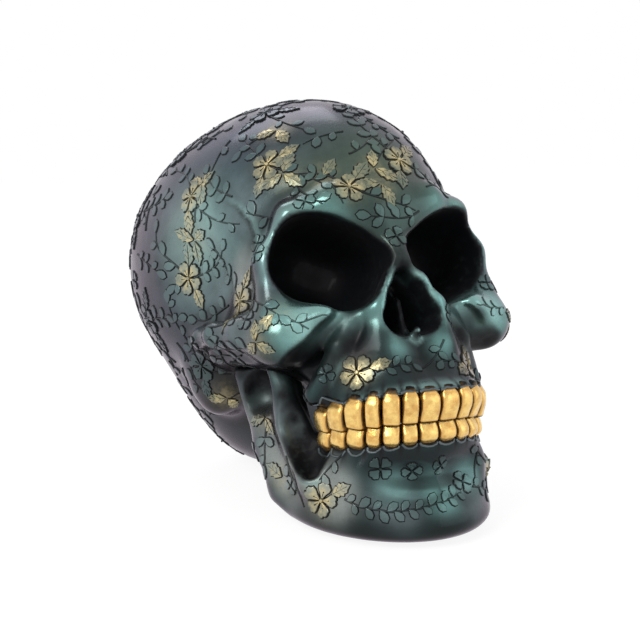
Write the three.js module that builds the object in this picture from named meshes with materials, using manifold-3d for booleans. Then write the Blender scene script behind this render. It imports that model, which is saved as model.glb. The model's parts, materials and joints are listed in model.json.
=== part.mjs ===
// Life-size skull ornament in cast resin, with a row of gilt teeth in each jaw.
// Millimetres, +Z up, face towards -Y, the skull's own left side towards +X.
// The origin lies on the table under the middle of the outline.
//
// The two castings are sculpted as distance fields: rounded solids are blended into one
// another, hollows are blended out, and the zero surface is turned into facets. The forms
// are laid out in the anatomical frame (level line from ear hole to eye socket floor) and
// stand tipped back, as the ornament rests on its jaw and the back of its head.

import * as THREE from 'three';
import Module from 'manifold-3d';

const wasm = await Module();
wasm.setup();

// Driving dimensions
const TIP_BACK = 22.2;            // degrees that the head leans back from the level line
const REST_DROP = 61.5;           // ear hole axis above the table
const MIDDLE_SHIFT = 4.46;        // ear hole axis behind the middle of the outline
const JAW_BASE_Z = 1.8;           // underside of the jaw above the table
const HEEL_Z = 1.8;               // flat ground on the back of the head above the table
const CASTING_GAP = 0.75;         // glue line between the jaw and the cheek arches
const FACET_STEP = 1.9;           // grid that the castings are faceted on
const GRID_START = {              // first line of that grid before the ear hole axis and below the table
  front: 120, below: 2,
};
const GRID_MARGIN = 1.0;          // free space between a casting and the edge of its grid
const CRANIUM_FACETS = 5850;
const MANDIBLE_FACETS = 1450;

const ARCH_MIDDLE_Y = -72;        // where the rows of teeth leave their front curve
const ARCH_POWER = 2.4;           // squareness of the rows of teeth
const UPPER_ROW = { half: 31.0, reach: 36.4, crown: 12.8 };
const LOWER_ROW = { half: 29.6, reach: 35.0, crown: 8.4 };
const BITE_Z = -12.5;             // height of the bite at the front, from the ear hole axis
const BITE_SLOPE = -0.232;        // the bite falls towards the back
const TOOTH_GAP = 0.3;
const BITE_PLAY = 0.2;            // each row stays this far from the bite line
const TOOTH_DEPTH = 8.0;
const SOCKET_FIT = 0.3;
const ROOT_DEPTH = 3.0;
const SHOULDER = 0.8;             // share of the crown where a tooth begins to narrow to its root
const TEETH = [
  { name: 'central_incisor', width: 8.4, tall: 0.97, form: 'incisor' },
  { name: 'lateral_incisor', width: 6.6, tall: 1.00, form: 'incisor' },
  { name: 'canine', width: 7.2, tall: 1.00, form: 'canine' },
  { name: 'first_premolar', width: 6.2, tall: 0.97, form: 'premolar' },
  { name: 'second_premolar', width: 8.6, tall: 0.93, form: 'premolar' },
  { name: 'first_molar', width: 9.4, tall: 0.86, form: 'molar' },
  { name: 'second_molar', width: 9.6, tall: 0.74, form: 'molar' },
];

const RELIEF_HEIGHT = 0.8;        // raised blossoms above the skin
const RELIEF_ROOT = 1.2;          // how far a blossom is sunk into the casting
const PETALS = 5;
const PETAL_REACH = 7.2;          // middle of a blossom to its petal tips
const PETAL_NOTCH = 5.0;          // middle of a blossom to the notch between two petals

const PAD_THICK = 1.5;
const PAD_RADIUS = 7.0;
const HEEL_PAD_RADIUS = 6.5;

const RADIANS = Math.PI / 180;
const TIP_COS = Math.cos(TIP_BACK * RADIANS);
const TIP_SIN = Math.sin(TIP_BACK * RADIANS);

// Blends: k is the width of the fillet
const blendIn = (a, b, k) => {
  const h = Math.max(k - Math.abs(a - b), 0) / k;
  return Math.min(a, b) - h * h * k * 0.25;
};
const blendOut = (a, b, k) => -blendIn(-a, -b, k);
const band = (v, low, high) => Math.max(low - v, v - high);

// Distance to an ellipsoid with its middle at c and half axes r
const egg = (x, y, z, c, r) => {
  const px = x - c[0];
  const py = y - c[1];
  const pz = z - c[2];
  const k0 = Math.hypot(px / r[0], py / r[1], pz / r[2]) + 1e-6;
  const k1 = Math.hypot(px / r[0] ** 2, py / r[1] ** 2, pz / r[2] ** 2) + 1e-6;
  return k0 * (k0 - 1) / k1;
};

// Distance to a bar that tapers from one ball to the next
const taper = (x, y, z, a, b) => {
  const dx = b[0] - a[0];
  const dy = b[1] - a[1];
  const dz = b[2] - a[2];
  const dot = (x - a[0]) * dx + (y - a[1]) * dy + (z - a[2]) * dz;
  const t = Math.min(Math.max(dot / (dx * dx + dy * dy + dz * dz), 0), 1);
  const away = Math.hypot(x - a[0] - t * dx, y - a[1] - t * dy, z - a[2] - t * dz);
  return away - (a[3] + (b[3] - a[3]) * t);
};
const bar = (x, y, z, balls, k) => {
  let d = taper(x, y, z, balls[0], balls[1]);
  for (let i = 1; i < balls.length - 1; i += 1) {
    d = blendIn(d, taper(x, y, z, balls[i], balls[i + 1]), k);
  }
  return d;
};

// Distance to a squared-off egg, turned about Z, then X, then Y
const cushion = (x, y, z, c, r, power, turn) => {
  let px = x - c[0];
  let py = y - c[1];
  let pz = z - c[2];
  const [yaw, pitch, roll] = turn;
  [px, py] = [yaw.c * px + yaw.s * py, yaw.c * py - yaw.s * px];
  [py, pz] = [pitch.c * py + pitch.s * pz, pitch.c * pz - pitch.s * py];
  [px, pz] = [roll.c * px + roll.s * pz, roll.c * pz - roll.s * px];
  const q = Math.abs(px / r[0]) ** power + Math.abs(py / r[1]) ** power + Math.abs(pz / r[2]) ** power;
  return (q ** (1 / power) - 1) * Math.min(r[0], r[1], r[2]);
};
const angle = (degrees) => ({ c: Math.cos(degrees * RADIANS), s: Math.sin(degrees * RADIANS) });
const GUIDE = new THREE.Vector3(0.31, 0.52, 0.80);
const SOCKET_TURN = [angle(14), angle(4), angle(27)];
const NO_TURN = [angle(0), angle(0), angle(0)];

// Outline of a row of teeth, as a wall that ends behind the last one
const horseshoe = (x, yu, half, reach) => {
  const front = Math.abs(Math.min(yu - ARCH_MIDDLE_Y, 0) / reach) ** ARCH_POWER;
  const q = ((x / half) ** ARCH_POWER + front) ** (1 / ARCH_POWER);
  return blendOut((q - 1) * half, yu + 64, 8);
};

// Form lines of the face, as balls (x, y, z, radius) from the midline outwards
const BROW = [
  [8, -83.5, 37, 4.5], [22, -83.5, 40.5, 5], [37.5, -76.5, 37, 5.2],
  [47.5, -70, 21, 4.8], [49.5, -69, 3, 5],
];
const ORBIT_FLOOR = [[16, -81, 2, 4.5], [33, -79, -6, 6.5], [46, -71, -9, 8]];
const NOSE_BRIDGE = [[0, -81, 30, 4.8], [0, -89.5, 14.5, 4]];
const NOSE_SIDE = [[3.5, -86, 20, 3.8], [9.5, -88.5, 6, 4], [14.5, -88, -5, 4.4], [15, -87, -20, 4.6]];
const NOSE_PEAR = [[0, 0, 7.4, 2.4], [3.2, 0, -0.6, 4.7], [5.4, 0, -9.6, 7.3]];
const CHEEK_ARCH = [
  [49, -65, -8.5, 7.5], [57, -54, -3.5, 5.8], [61, -38, 0.5, 5],
  [60.5, -22, 3.5, 4], [55, -8, 5, 2],
];
const ARCH_ROOT = [[44, -54, -7, 8], [47, -40, -4, 8], [48, -18, -1, 8.5]];
const CHEEK_HOLLOW = [
  [44, -74, -27, 8], [43, -63, -34, 8.5], [41, -58, -42, 8],
  [39, -58, -52, 7], [38.5, -58.5, -63, 3],
];
const CHEEK_GROOVE = [[24.5, -87, -3, 2.4], [33, -84, -13.5, 4.6], [41, -79, -23, 8]];
const CANINE_HOLLOW = [[25, -96, -8, 7], [31, -97, -24, 10]];
const CHEEK_RIDGE = [[17.5, -84, -4, 2.4], [28, -79.5, -17, 3], [36, -68, -33, 4.4]];
const NOSE_SPINE = [[0, -85, -22, 3], [0, -93.5, -16, 1.4]];
const RAMUS_BACK = [[38, -30, -60, 7], [39, -26, -45, 5.4], [42, -18, -13, 4.8]];
const RAMUS_FRONT = [[38, -56, -66, 6], [38, -47.5, -42, 4.4], [40, -46.5, -17, 4.2]];

// Height of the bite along the row, from the ear hole axis
const biteLine = (yu) => BITE_Z + BITE_SLOPE * (yu + 108);

const eyeSocket = (x, y, z) => {
  const socket = cushion(x, y, z, [27.6, -81, 16.6], [22.6, 36, 17.8], 2.6, SOCKET_TURN);
  return blendIn(socket, egg(x, y, z, [10.1, -89, 16.4], [5.4, 9, 5.4]), 5);
};

// Pear-shaped opening of the nose, cut straight back from the front
const noseOpening = (x, y, z) => {
  const funnel = 0.2 * Math.max(y + 92, 0);
  return blendOut(bar(x, 0, z, NOSE_PEAR, 3) + funnel, band(y, -125, -72), 6);
};

// Cranium with the face down to the upper gum, in the anatomical frame
function cranium(x, y, z, yu, zu) {
  let d = blendIn(egg(x, y, z, [0, 2, 42], [65, 90.5, 69]), egg(x, y, z, [0, 21, 48], [67, 67, 61]), 14);
  d = blendIn(d, egg(x, y, z, [0, 42, -1], [38, 42, 44]), 24);
  d = blendIn(d, egg(x, y, z, [30, -50, 8], [24, 26, 30]), 10);
  d = blendOut(d, -egg(x, y, z, [100, -36, 25], [47.5, 50, 50]), 4);
  const brow = blendIn(egg(x, y, z, [0, -84, 36], [16, 7, 11]), bar(x, y, z, BROW, 6), 8);
  d = blendIn(d, brow, 9);
  d = blendIn(d, egg(x, y, z, [0, -54, -2], [32, 30, 42]), 10);
  const cheek = blendIn(egg(x, y, z, [45, -67, -9], [12.5, 12.5, 10.5]), bar(x, y, z, ORBIT_FLOOR, 8), 10);
  d = blendIn(d, cheek, 8);
  const nose = blendIn(bar(x, y, z, NOSE_BRIDGE, 6), bar(x, y, z, NOSE_SIDE, 6), 7);
  d = blendIn(d, nose, 5);
  const gumLine = -2.2 - 0.325 * (yu + 108);
  const ahead = Math.min(Math.max((-yu - 78) / 18, 0), 1);
  const lean = 1.1 * ahead * Math.max(zu - gumLine - 1.5, 0);
  const gum = blendOut(0.7 * (horseshoe(x, yu, 33.6, 39.4) + lean), band(zu, gumLine, 24 * ahead), 4);
  const tongueSide = blendOut(horseshoe(x, yu, 29, 34.4), band(zu, biteLine(yu) + 0.8, gumLine + 3), 3);
  const middle = egg(x, y, z, [11, -76, -26], [14, 15.5, 18]);
  d = blendIn(d, blendIn(middle, blendIn(gum, tongueSide, 3), 11), 9);
  d = blendIn(d, blendIn(bar(x, y, z, CHEEK_ARCH, 3), bar(x, y, z, ARCH_ROOT, 4), 6), 8);
  d = blendIn(d, egg(x, y, z, [44, 10, -8], [10, 14, 16]), 14);
  const hollow = blendIn(bar(x, y, z, CHEEK_HOLLOW, 8), bar(x, y, z, CHEEK_GROOVE, 6), 4);
  d = blendOut(d, -hollow, 3);
  d = blendOut(d, -bar(x, y, z, CANINE_HOLLOW, 6), 8);
  d = blendIn(d, bar(x, y, z, CHEEK_RIDGE, 4), 4);
  d = blendOut(d, -eyeSocket(x, y, z), 2.5);
  d = blendOut(d, -noseOpening(x, y, z), 2);
  const septum = blendOut(x - 1.2, Math.max(band(y, -84, -64), band(z, -26, 0)), 2);
  return blendIn(d, blendIn(septum, bar(x, y, z, NOSE_SPINE, 2), 2), 2);
}

// Lower jaw: a filled foot with a flared rim, the lower gum and the two uprights
function mandible(x, y, z, yu, zu) {
  const h = zu + REST_DROP - JAW_BASE_Z;
  const q = Math.hypot(x / 37.5, Math.min(yu + 66, 0) / 46);
  const wall = (q - 1) * 37.5 - 4 * Math.exp(-(((h - 6) / 8) ** 2));
  let d = blendOut(blendOut(wall, band(h, -0.4, 28), 6), yu + 42, 18);
  const gumLine = -19 - 0.211 * (yu + 108);
  const gum = blendOut(horseshoe(x, yu, 31.8, 37.6), band(zu, -42, gumLine), 4);
  const tongueSide = blendOut(horseshoe(x, yu, 27.4, 33), band(zu, -42, biteLine(yu) - 0.8), 3);
  d = blendIn(d, blendIn(gum, tongueSide, 3), 10);
  let upright = blendIn(bar(x, y, z, RAMUS_BACK, 8), bar(x, y, z, RAMUS_FRONT, 8), 4);
  const plate = blendOut(band(y, -46, -20), band(z, -66, -12), 6);
  upright = blendIn(upright, blendOut(Math.abs(x - 37.5 - z * 0.05) - 7, plate, 3), 6);
  upright = blendOut(upright, -cushion(x, y, z, [46, -33.5, -23], [12.5, 11.5, 10.5], 2.4, NO_TURN), 3);
  d = blendIn(d, upright, 8);
  d = blendOut(d, -bar(x, y, z, CHEEK_HOLLOW, 8), 3);
  return blendOut(d, -egg(x, yu, zu, [22, -117, -34], [26, 14, 8]), 8);
}

// The same two fields in the frame of the part
function standing(field) {
  return (px, py, pz) => {
    const x = Math.sqrt(px * px + 0.01);
    const yu = py - MIDDLE_SHIFT;
    const zu = pz - REST_DROP;
    return field(x, TIP_COS * yu - TIP_SIN * zu, TIP_SIN * yu + TIP_COS * zu, yu, zu);
  };
}
const craniumField = standing(cranium);
const jawOnly = standing(mandible);
const mandibleField = (x, y, z) => Math.max(jawOnly(x, y, z), CASTING_GAP - craniumField(x, y, z));

// Corners of the grid for a casting: from a box that cuts it, each wall moves out till it is clear
function roomRound(field, low, high, step) {
  const box = [[...low], [...high]];
  const cuts = (axis, wall) => {
    const [u, v] = [0, 1, 2].filter((k) => k !== axis);
    const p = [0, 0, 0];
    p[axis] = wall;
    for (p[u] = box[0][u]; p[u] <= box[1][u] + step; p[u] += step) {
      for (p[v] = box[0][v]; p[v] <= box[1][v] + step; p[v] += step) {
        if (field(...p) < GRID_MARGIN) return true;
      }
    }
    return false;
  };
  let settled = false;
  while (!settled) {
    settled = true;
    for (const [axis, end] of [[0, 1], [1, 0], [1, 1], [2, 0], [2, 1]]) {
      while (cuts(axis, box[end][axis])) {
        box[end][axis] += end === 1 ? step : -step;
        settled = false;
      }
    }
  }
  return box;
}

// Facets the half of a field with x >= 0: every grid cube is split into six tetrahedra
function facetHalf(field, low, high, step) {
  const n = [0, 1, 2].map((k) => Math.ceil((high[k] - low[k]) / step) + 1);
  const at = (i, j, k) => (i * n[1] + j) * n[2] + k;
  const value = new Float64Array(n[0] * n[1] * n[2]);
  for (let i = 0; i < n[0]; i += 1) {
    for (let j = 0; j < n[1]; j += 1) {
      for (let k = 0; k < n[2]; k += 1) {
        value[at(i, j, k)] = field(low[0] + i * step, low[1] + j * step, low[2] + k * step);
      }
    }
  }
  const points = [];
  const tris = [];
  const known = new Map();
  const total = value.length;
  const place = (node) => [Math.floor(node / (n[1] * n[2])), Math.floor(node / n[2]) % n[1], node % n[2]];
  const crossing = (a, b) => {
    const key = Math.min(a, b) * total + Math.max(a, b);
    if (!known.has(key)) {
      const pa = place(a);
      const pb = place(b);
      const t = Math.min(Math.max(value[a] / (value[a] - value[b]), 0.2), 0.8);
      known.set(key, points.length);
      points.push(pa.map((v, k) => low[k] + (v + t * (pb[k] - v)) * step));
    }
    return known.get(key);
  };
  const orders = [[0, 1, 2], [0, 2, 1], [1, 0, 2], [1, 2, 0], [2, 0, 1], [2, 1, 0]];
  const stride = [n[1] * n[2], n[2], 1];
  const push = (a, b, c, flip) => tris.push(flip ? [a, c, b] : [a, b, c]);
  for (let i = 0; i < n[0] - 1; i += 1) {
    for (let j = 0; j < n[1] - 1; j += 1) {
      for (let k = 0; k < n[2] - 1; k += 1) {
        const base = at(i, j, k);
        const corner = base + stride[0] + stride[1] + stride[2];
        for (let o = 0; o < 6; o += 1) {
          const order = orders[o];
          const mid = base + stride[order[0]];
          const cell = [base, mid, mid + stride[order[1]], corner];
          const odd = o === 1 || o === 2 || o === 5;
          const inside = cell.map((node) => value[node] < 0);
          const count = inside.filter(Boolean).length;
          if (count === 0 || count === 4) continue;
          if (count !== 2) {
            const lone = inside.indexOf(count === 1);
            const rest = [0, 1, 2, 3].filter((v) => v !== lone);
            const [p, q, r] = rest.map((v) => crossing(cell[lone], cell[v]));
            push(p, q, r, (lone % 2 === 1) !== odd !== (count === 3));
          } else {
            const ins = [0, 1, 2, 3].filter((v) => inside[v]);
            const outs = [0, 1, 2, 3].filter((v) => !inside[v]);
            const [a, b] = ins.map((v) => cell[v]);
            const [c, d] = outs.map((v) => cell[v]);
            const turned = [ins[0], ins[1], outs[0], outs[1]];
            let swaps = 0;
            for (let u = 0; u < 4; u += 1) {
              for (let v = u + 1; v < 4; v += 1) swaps += turned[u] > turned[v] ? 1 : 0;
            }
            const flip = (swaps % 2 === 1) !== odd;
            const ac = crossing(a, c);
            const ad = crossing(a, d);
            const bd = crossing(b, d);
            const bc = crossing(b, c);
            push(ac, ad, bd, flip);
            push(ac, bd, bc, flip);
          }
        }
      }
    }
  }
  return { points, tris };
}

// Moves every vertex onto the zero surface; those on the mirror plane stay on it
function settle(mesh, field, step) {
  const e = 0.05;
  mesh.normals = mesh.points.map((p) => {
    const middle = p[0] < 1e-9;
    let g = [0, 0, 1];
    for (let pass = 0; pass < 5; pass += 1) {
      const f = field(p[0], p[1], p[2]);
      g = [
        middle ? 0 : (field(p[0] + e, p[1], p[2]) - field(p[0] - e, p[1], p[2])) / (2 * e),
        (field(p[0], p[1] + e, p[2]) - field(p[0], p[1] - e, p[2])) / (2 * e),
        (field(p[0], p[1], p[2] + e) - field(p[0], p[1], p[2] - e)) / (2 * e),
      ];
      const g2 = Math.max(g[0] ** 2 + g[1] ** 2 + g[2] ** 2, 0.05);
      const move = Math.min(Math.max(f / g2, -0.25 * step), 0.25 * step);
      for (let k = 0; k < 3; k += 1) p[k] -= move * g[k];
      p[0] = middle ? 0 : Math.max(p[0], 0.02);
    }
    const size = Math.hypot(...g) + 1e-9;
    return g.map((v) => v / size);
  });
}

// Keeps the largest connected sheet of facets
function largestSheet(mesh) {
  const root = mesh.points.map((_, i) => i);
  const find = (i) => {
    let r = i;
    while (root[r] !== r) r = root[r];
    while (root[i] !== r) [root[i], i] = [r, root[i]];
    return r;
  };
  for (const t of mesh.tris) {
    root[find(t[0])] = find(t[1]);
    root[find(t[1])] = find(t[2]);
  }
  const size = new Map();
  for (const t of mesh.tris) size.set(find(t[0]), (size.get(find(t[0])) ?? 0) + 1);
  const best = [...size].sort((a, b) => b[1] - a[1])[0][0];
  mesh.tris = mesh.tris.filter((t) => find(t[0]) === best);
}

// Smallest-first queue for the edges that may go
class Queue {
  constructor() {
    this.items = [];
  }

  push(item) {
    const a = this.items;
    let i = a.push(item) - 1;
    while (i > 0) {
      const up = (i - 1) >> 1;
      if (a[up].cost <= a[i].cost) break;
      [a[up], a[i]] = [a[i], a[up]];
      i = up;
    }
  }

  pop() {
    const a = this.items;
    const top = a[0];
    const last = a.pop();
    if (a.length === 0) return top;
    a[0] = last;
    let i = 0;
    for (;;) {
      let c = 2 * i + 1;
      if (c >= a.length) break;
      if (c + 1 < a.length && a[c + 1].cost < a[c].cost) c += 1;
      if (a[i].cost <= a[c].cost) break;
      [a[c], a[i]] = [a[i], a[c]];
      i = c;
    }
    return top;
  }
}

// Thins the facets where the form is calm, by collapsing the edge that moves the surface least
function thin(mesh, target) {
  const P = mesh.points;
  const T = mesh.tris;
  const N = mesh.normals;
  const alive = new Uint8Array(T.length).fill(1);
  const gone = new Uint8Array(P.length);
  const stamp = new Int32Array(P.length);
  const around = P.map(() => []);
  const onPlane = P.map((p) => p[0] === 0);
  const quad = P.map(() => new Float64Array(10));
  const cross = (a, b, c) => {
    const u = [b[0] - a[0], b[1] - a[1], b[2] - a[2]];
    const v = [c[0] - a[0], c[1] - a[1], c[2] - a[2]];
    return [u[1] * v[2] - u[2] * v[1], u[2] * v[0] - u[0] * v[2], u[0] * v[1] - u[1] * v[0]];
  };
  const addPlane = (q, nx, ny, nz, d, w) => {
    const v = [nx * nx, nx * ny, nx * nz, nx * d, ny * ny, ny * nz, ny * d, nz * nz, nz * d, d * d];
    for (let k = 0; k < 10; k += 1) q[k] += w * v[k];
  };
  T.forEach((t, id) => {
    const m = cross(P[t[0]], P[t[1]], P[t[2]]);
    const len = Math.hypot(m[0], m[1], m[2]);
    for (const v of t) around[v].push(id);
    if (len < 1e-9) return;
    const [nx, ny, nz] = m.map((v) => v / len);
    const d = -(nx * P[t[0]][0] + ny * P[t[0]][1] + nz * P[t[0]][2]);
    for (const v of t) addPlane(quad[v], nx, ny, nz, d, len);
  });
  const measure = (q, p) => {
    const [x, y, z] = p;
    return q[0] * x * x + 2 * q[1] * x * y + 2 * q[2] * x * z + 2 * q[3] * x + q[4] * y * y
      + 2 * q[5] * y * z + 2 * q[6] * y + q[7] * z * z + 2 * q[8] * z + q[9];
  };
  const best = (a, b) => {
    const q = quad[a].map((v, k) => v + quad[b][k]);
    const mid = P[a].map((v, k) => (v + P[b][k]) / 2);
    let spots = [P[a], P[b], mid];
    if (onPlane[a] !== onPlane[b]) spots = [onPlane[a] ? P[a] : P[b]];
    if (!onPlane[a] && !onPlane[b]) {
      const w = 1e-3 * (q[0] + q[4] + q[7]);
      const m = new THREE.Matrix3().set(q[0] + w, q[1], q[2], q[1], q[4] + w, q[5], q[2], q[5], q[7] + w);
      const r = new THREE.Vector3(w * mid[0] - q[3], w * mid[1] - q[6], w * mid[2] - q[8]);
      const s = r.applyMatrix3(m.invert()).toArray();
      const reach = Math.hypot(P[a][0] - P[b][0], P[a][1] - P[b][1], P[a][2] - P[b][2]);
      const far = Math.hypot(s[0] - mid[0], s[1] - mid[1], s[2] - mid[2]);
      if (far < reach && s[0] > 0.05) spots = [s, ...spots];
    }
    let pick = null;
    for (const s of spots) {
      const cost = measure(q, s);
      if (!pick || cost < pick.cost) pick = { cost, spot: [...s] };
    }
    const long = (P[a][0] - P[b][0]) ** 2 + (P[a][1] - P[b][1]) ** 2 + (P[a][2] - P[b][2]) ** 2;
    return { cost: Math.max(pick.cost, 0) + 2e-5 * long, spot: pick.spot, a, b, sa: stamp[a], sb: stamp[b] };
  };
  const near = (v) => {
    const set = new Set();
    for (const id of around[v]) for (const w of T[id]) if (w !== v) set.add(w);
    return set;
  };
  const roundness = (a, b, c) => {
    let edges = 0;
    for (const [s, e] of [[a, b], [b, c], [c, a]]) {
      edges += (s[0] - e[0]) ** 2 + (s[1] - e[1]) ** 2 + (s[2] - e[2]) ** 2;
    }
    return Math.hypot(...cross(a, b, c)) / edges;
  };
  let slimmest = 0;
  const keepsForm = (v, other, spot) => {
    for (const id of around[v]) {
      const t = T[id];
      if (t.includes(other)) continue;
      const was = t.map((w) => P[w]);
      const will = t.map((w) => (w === v ? spot : P[w]));
      const fresh = cross(...will);
      const size = Math.hypot(...fresh);
      const lean = [0, 1, 2].map((k) => N[t[0]][k] + N[t[1]][k] + N[t[2]][k] + N[other][k]);
      const dot = lean[0] * fresh[0] + lean[1] * fresh[1] + lean[2] * fresh[2];
      if (size < 1e-4 || dot < 0.25 * Math.hypot(...lean) * size) return false;
      const shape = roundness(...will);
      if (shape < slimmest && shape < roundness(...was)) return false;
    }
    return true;
  };
  let count = T.length;
  for (slimmest of [0.07, 0.03, 0.01]) {
    const queue = new Queue();
    P.forEach((_, v) => {
      if (gone[v]) return;
      for (const w of near(v)) if (v < w) queue.push(best(v, w));
    });
    while (count > target && queue.items.length > 0) {
      const e = queue.pop();
      const { a, b, spot } = e;
      if (gone[a] || gone[b] || stamp[a] !== e.sa || stamp[b] !== e.sb) continue;
      const shared = around[a].filter((id) => T[id].includes(b));
      const nb = near(b);
      const common = [...near(a)].filter((v) => nb.has(v)).length;
      if (shared.length !== common) continue;
      if (onPlane[a] && onPlane[b] ? shared.length !== 1 : shared.length !== 2) continue;
      if (!keepsForm(a, b, spot) || !keepsForm(b, a, spot)) continue;
      for (const id of shared) alive[id] = 0;
      count -= shared.length;
      for (const id of around[b]) {
        if (!alive[id]) continue;
        T[id][T[id].indexOf(b)] = a;
        around[a].push(id);
      }
      gone[b] = 1;
      P[a] = spot;
      const lean = N[a].map((v, k) => v + N[b][k]);
      N[a] = lean.map((v) => v / (Math.hypot(...lean) + 1e-9));
      onPlane[a] = onPlane[a] || onPlane[b];
      if (onPlane[a]) P[a][0] = 0;
      for (let k = 0; k < 10; k += 1) quad[a][k] += quad[b][k];
      stamp[a] += 1;
      const ring = near(a);
      around[a] = around[a].filter((id) => alive[id]);
      for (const v of ring) around[v] = around[v].filter((id) => alive[id]);
      for (const v of near(a)) queue.push(best(Math.min(a, v), Math.max(a, v)));
    }
  }
  mesh.tris = T.filter((_, id) => alive[id]);
}

// Mirrors the half casting and sews it along the middle
function wholeSolid(half) {
  const index = new Map();
  const flat = [];
  const tris = [];
  const id = (v, side) => {
    const p = half.points[v];
    const key = p[0] === 0 ? `${v}` : `${v}:${side}`;
    if (!index.has(key)) {
      index.set(key, index.size);
      flat.push(p[0] * side, p[1], p[2]);
    }
    return index.get(key);
  };
  for (const [a, b, c] of half.tris) {
    tris.push(id(a, 1), id(b, 1), id(c, 1));
    tris.push(id(a, -1), id(c, -1), id(b, -1));
  }
  return toSolid(flat, tris);
}

function toSolid(flat, tris) {
  const vertProperties = new Float32Array(flat);
  const triVerts = new Uint32Array(tris);
  return new wasm.Manifold(new wasm.Mesh({ numProp: 3, vertProperties, triVerts }));
}

function toGeometry(solid) {
  const mesh = solid.getMesh();
  const geometry = new THREE.BufferGeometry();
  geometry.setAttribute('position', new THREE.BufferAttribute(new Float32Array(mesh.vertProperties), 3));
  geometry.setIndex(new THREE.BufferAttribute(new Uint32Array(mesh.triVerts), 1));
  geometry.computeVertexNormals();
  return geometry;
}

// A three.js geometry as a solid, placed by a matrix
function solidOf(geometry, matrix) {
  const at = geometry.getAttribute('position');
  const index = geometry.getIndex();
  const spot = new THREE.Vector3();
  const flat = [];
  const tris = [];
  const known = new Map();
  const weld = [];
  for (let i = 0; i < at.count; i += 1) {
    spot.fromBufferAttribute(at, i);
    const key = spot.toArray().map((v) => Math.round(v * 1e4)).join(',');
    if (!known.has(key)) {
      known.set(key, known.size);
      spot.applyMatrix4(matrix);
      flat.push(spot.x, spot.y, spot.z);
    }
    weld.push(known.get(key));
  }
  for (let i = 0; i < index.count; i += 3) {
    const t = [0, 1, 2].map((k) => weld[index.getX(i + k)]);
    if (t[0] !== t[1] && t[1] !== t[2] && t[0] !== t[2]) tris.push(...t);
  }
  return toSolid(flat, tris);
}
const moved = (x, y, z) => new THREE.Matrix4().makeTranslation(x, y, z);

function casting(field, target) {
  const start = [0, MIDDLE_SHIFT - GRID_START.front, -GRID_START.below];
  const mouth = [FACET_STEP, MIDDLE_SHIFT + ARCH_MIDDLE_Y, REST_DROP + BITE_Z];
  const [low, high] = roomRound(field, start, mouth, FACET_STEP);
  const half = facetHalf(field, low, high, FACET_STEP);
  settle(half, field, FACET_STEP);
  largestSheet(half);
  thin(half, target / 2);
  return wholeSolid(half);
}

// Main blossoms on the cranium: a spot near the skin and the turn of the first petal in degrees
const BLOSSOMS = [
  [-58, 2, 131, 33], [-58, 5, 96, 63], [-54, -40, 91, 43], [-38, -32, 145, 39], [-16, -61, 137, 54],
  [12, -52, 147, 61], [-26, -86, 67, 16], [26, -86, 67, 15], [5, -21, 168, 29], [-29, 100, 115, 39],
  [50, -7, 143, 52], [-54, 77, 74, 22], [-63, 56, 120, 39], [-25, -2, 166, 6], [12, 100, 128, 31],
  [42, -41, 129, 59], [57, 0, 91, 44], [59, 36, 133, 64], [-54, 2, 58, 19], [8, 102, 56, 25],
  [67, 34, 81, 10], [-39, 75, 139, 62], [23, 21, 166, 6], [37, 66, 147, 14], [40, 98, 86, 27],
  [-17, 36, 166, 20], [-7, 112, 91, 43], [2, 68, 157, 54], [-65, 39, 74, 28], [56, 77, 112, 45],
  [-47, 41, 148, 52], [53, -33, 96, 57],
];

// A point moved to where a field has a given value, with the outward direction there
function onLevel(field, start, level) {
  const e = 0.05;
  const p = [...start];
  let g = [0, 0, 1];
  for (let pass = 0; pass < 8; pass += 1) {
    const f = field(p[0], p[1], p[2]) - level;
    g = [0, 1, 2].map((k) => {
      const ahead = p.map((v, i) => (i === k ? v + e : v));
      const behind = p.map((v, i) => (i === k ? v - e : v));
      return (field(...ahead) - field(...behind)) / (2 * e);
    });
    const g2 = Math.max(g[0] ** 2 + g[1] ** 2 + g[2] ** 2, 0.05);
    for (let k = 0; k < 3; k += 1) p[k] -= (f / g2) * g[k];
  }
  return { spot: new THREE.Vector3(...p), out: new THREE.Vector3(...g).normalize() };
}

// A raised blossom that follows the skin: a petalled plate between two levels of the field
function blossomSolid(field, [x, y, z, degrees]) {
  const { spot, out } = onLevel(field, [x, y, z], 0);
  const across = new THREE.Vector3().crossVectors(out, GUIDE).normalize();
  const side = new THREE.Vector3().crossVectors(out, across);
  const points = 2 * PETALS;
  const flat = [];
  for (const level of [-RELIEF_ROOT, RELIEF_HEIGHT]) {
    for (let i = 0; i < points; i += 1) {
      const a = degrees * RADIANS + (i / points) * 2 * Math.PI;
      const reach = i % 2 === 0 ? PETAL_REACH : PETAL_NOTCH;
      const at = spot.clone();
      at.addScaledVector(across, reach * Math.cos(a));
      at.addScaledVector(side, reach * Math.sin(a));
      flat.push(...onLevel(field, at.toArray(), level).spot.toArray());
    }
    flat.push(...onLevel(field, spot.toArray(), level).spot.toArray());
  }
  const tris = [];
  const top = points + 1;
  for (let i = 0; i < points; i += 1) {
    const j = (i + 1) % points;
    tris.push(i, j, top + j, i, top + j, top + i);
    tris.push(points, j, i);
    tris.push(top + points, top + i, top + j);
  }
  return toSolid(flat, tris);
}

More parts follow.
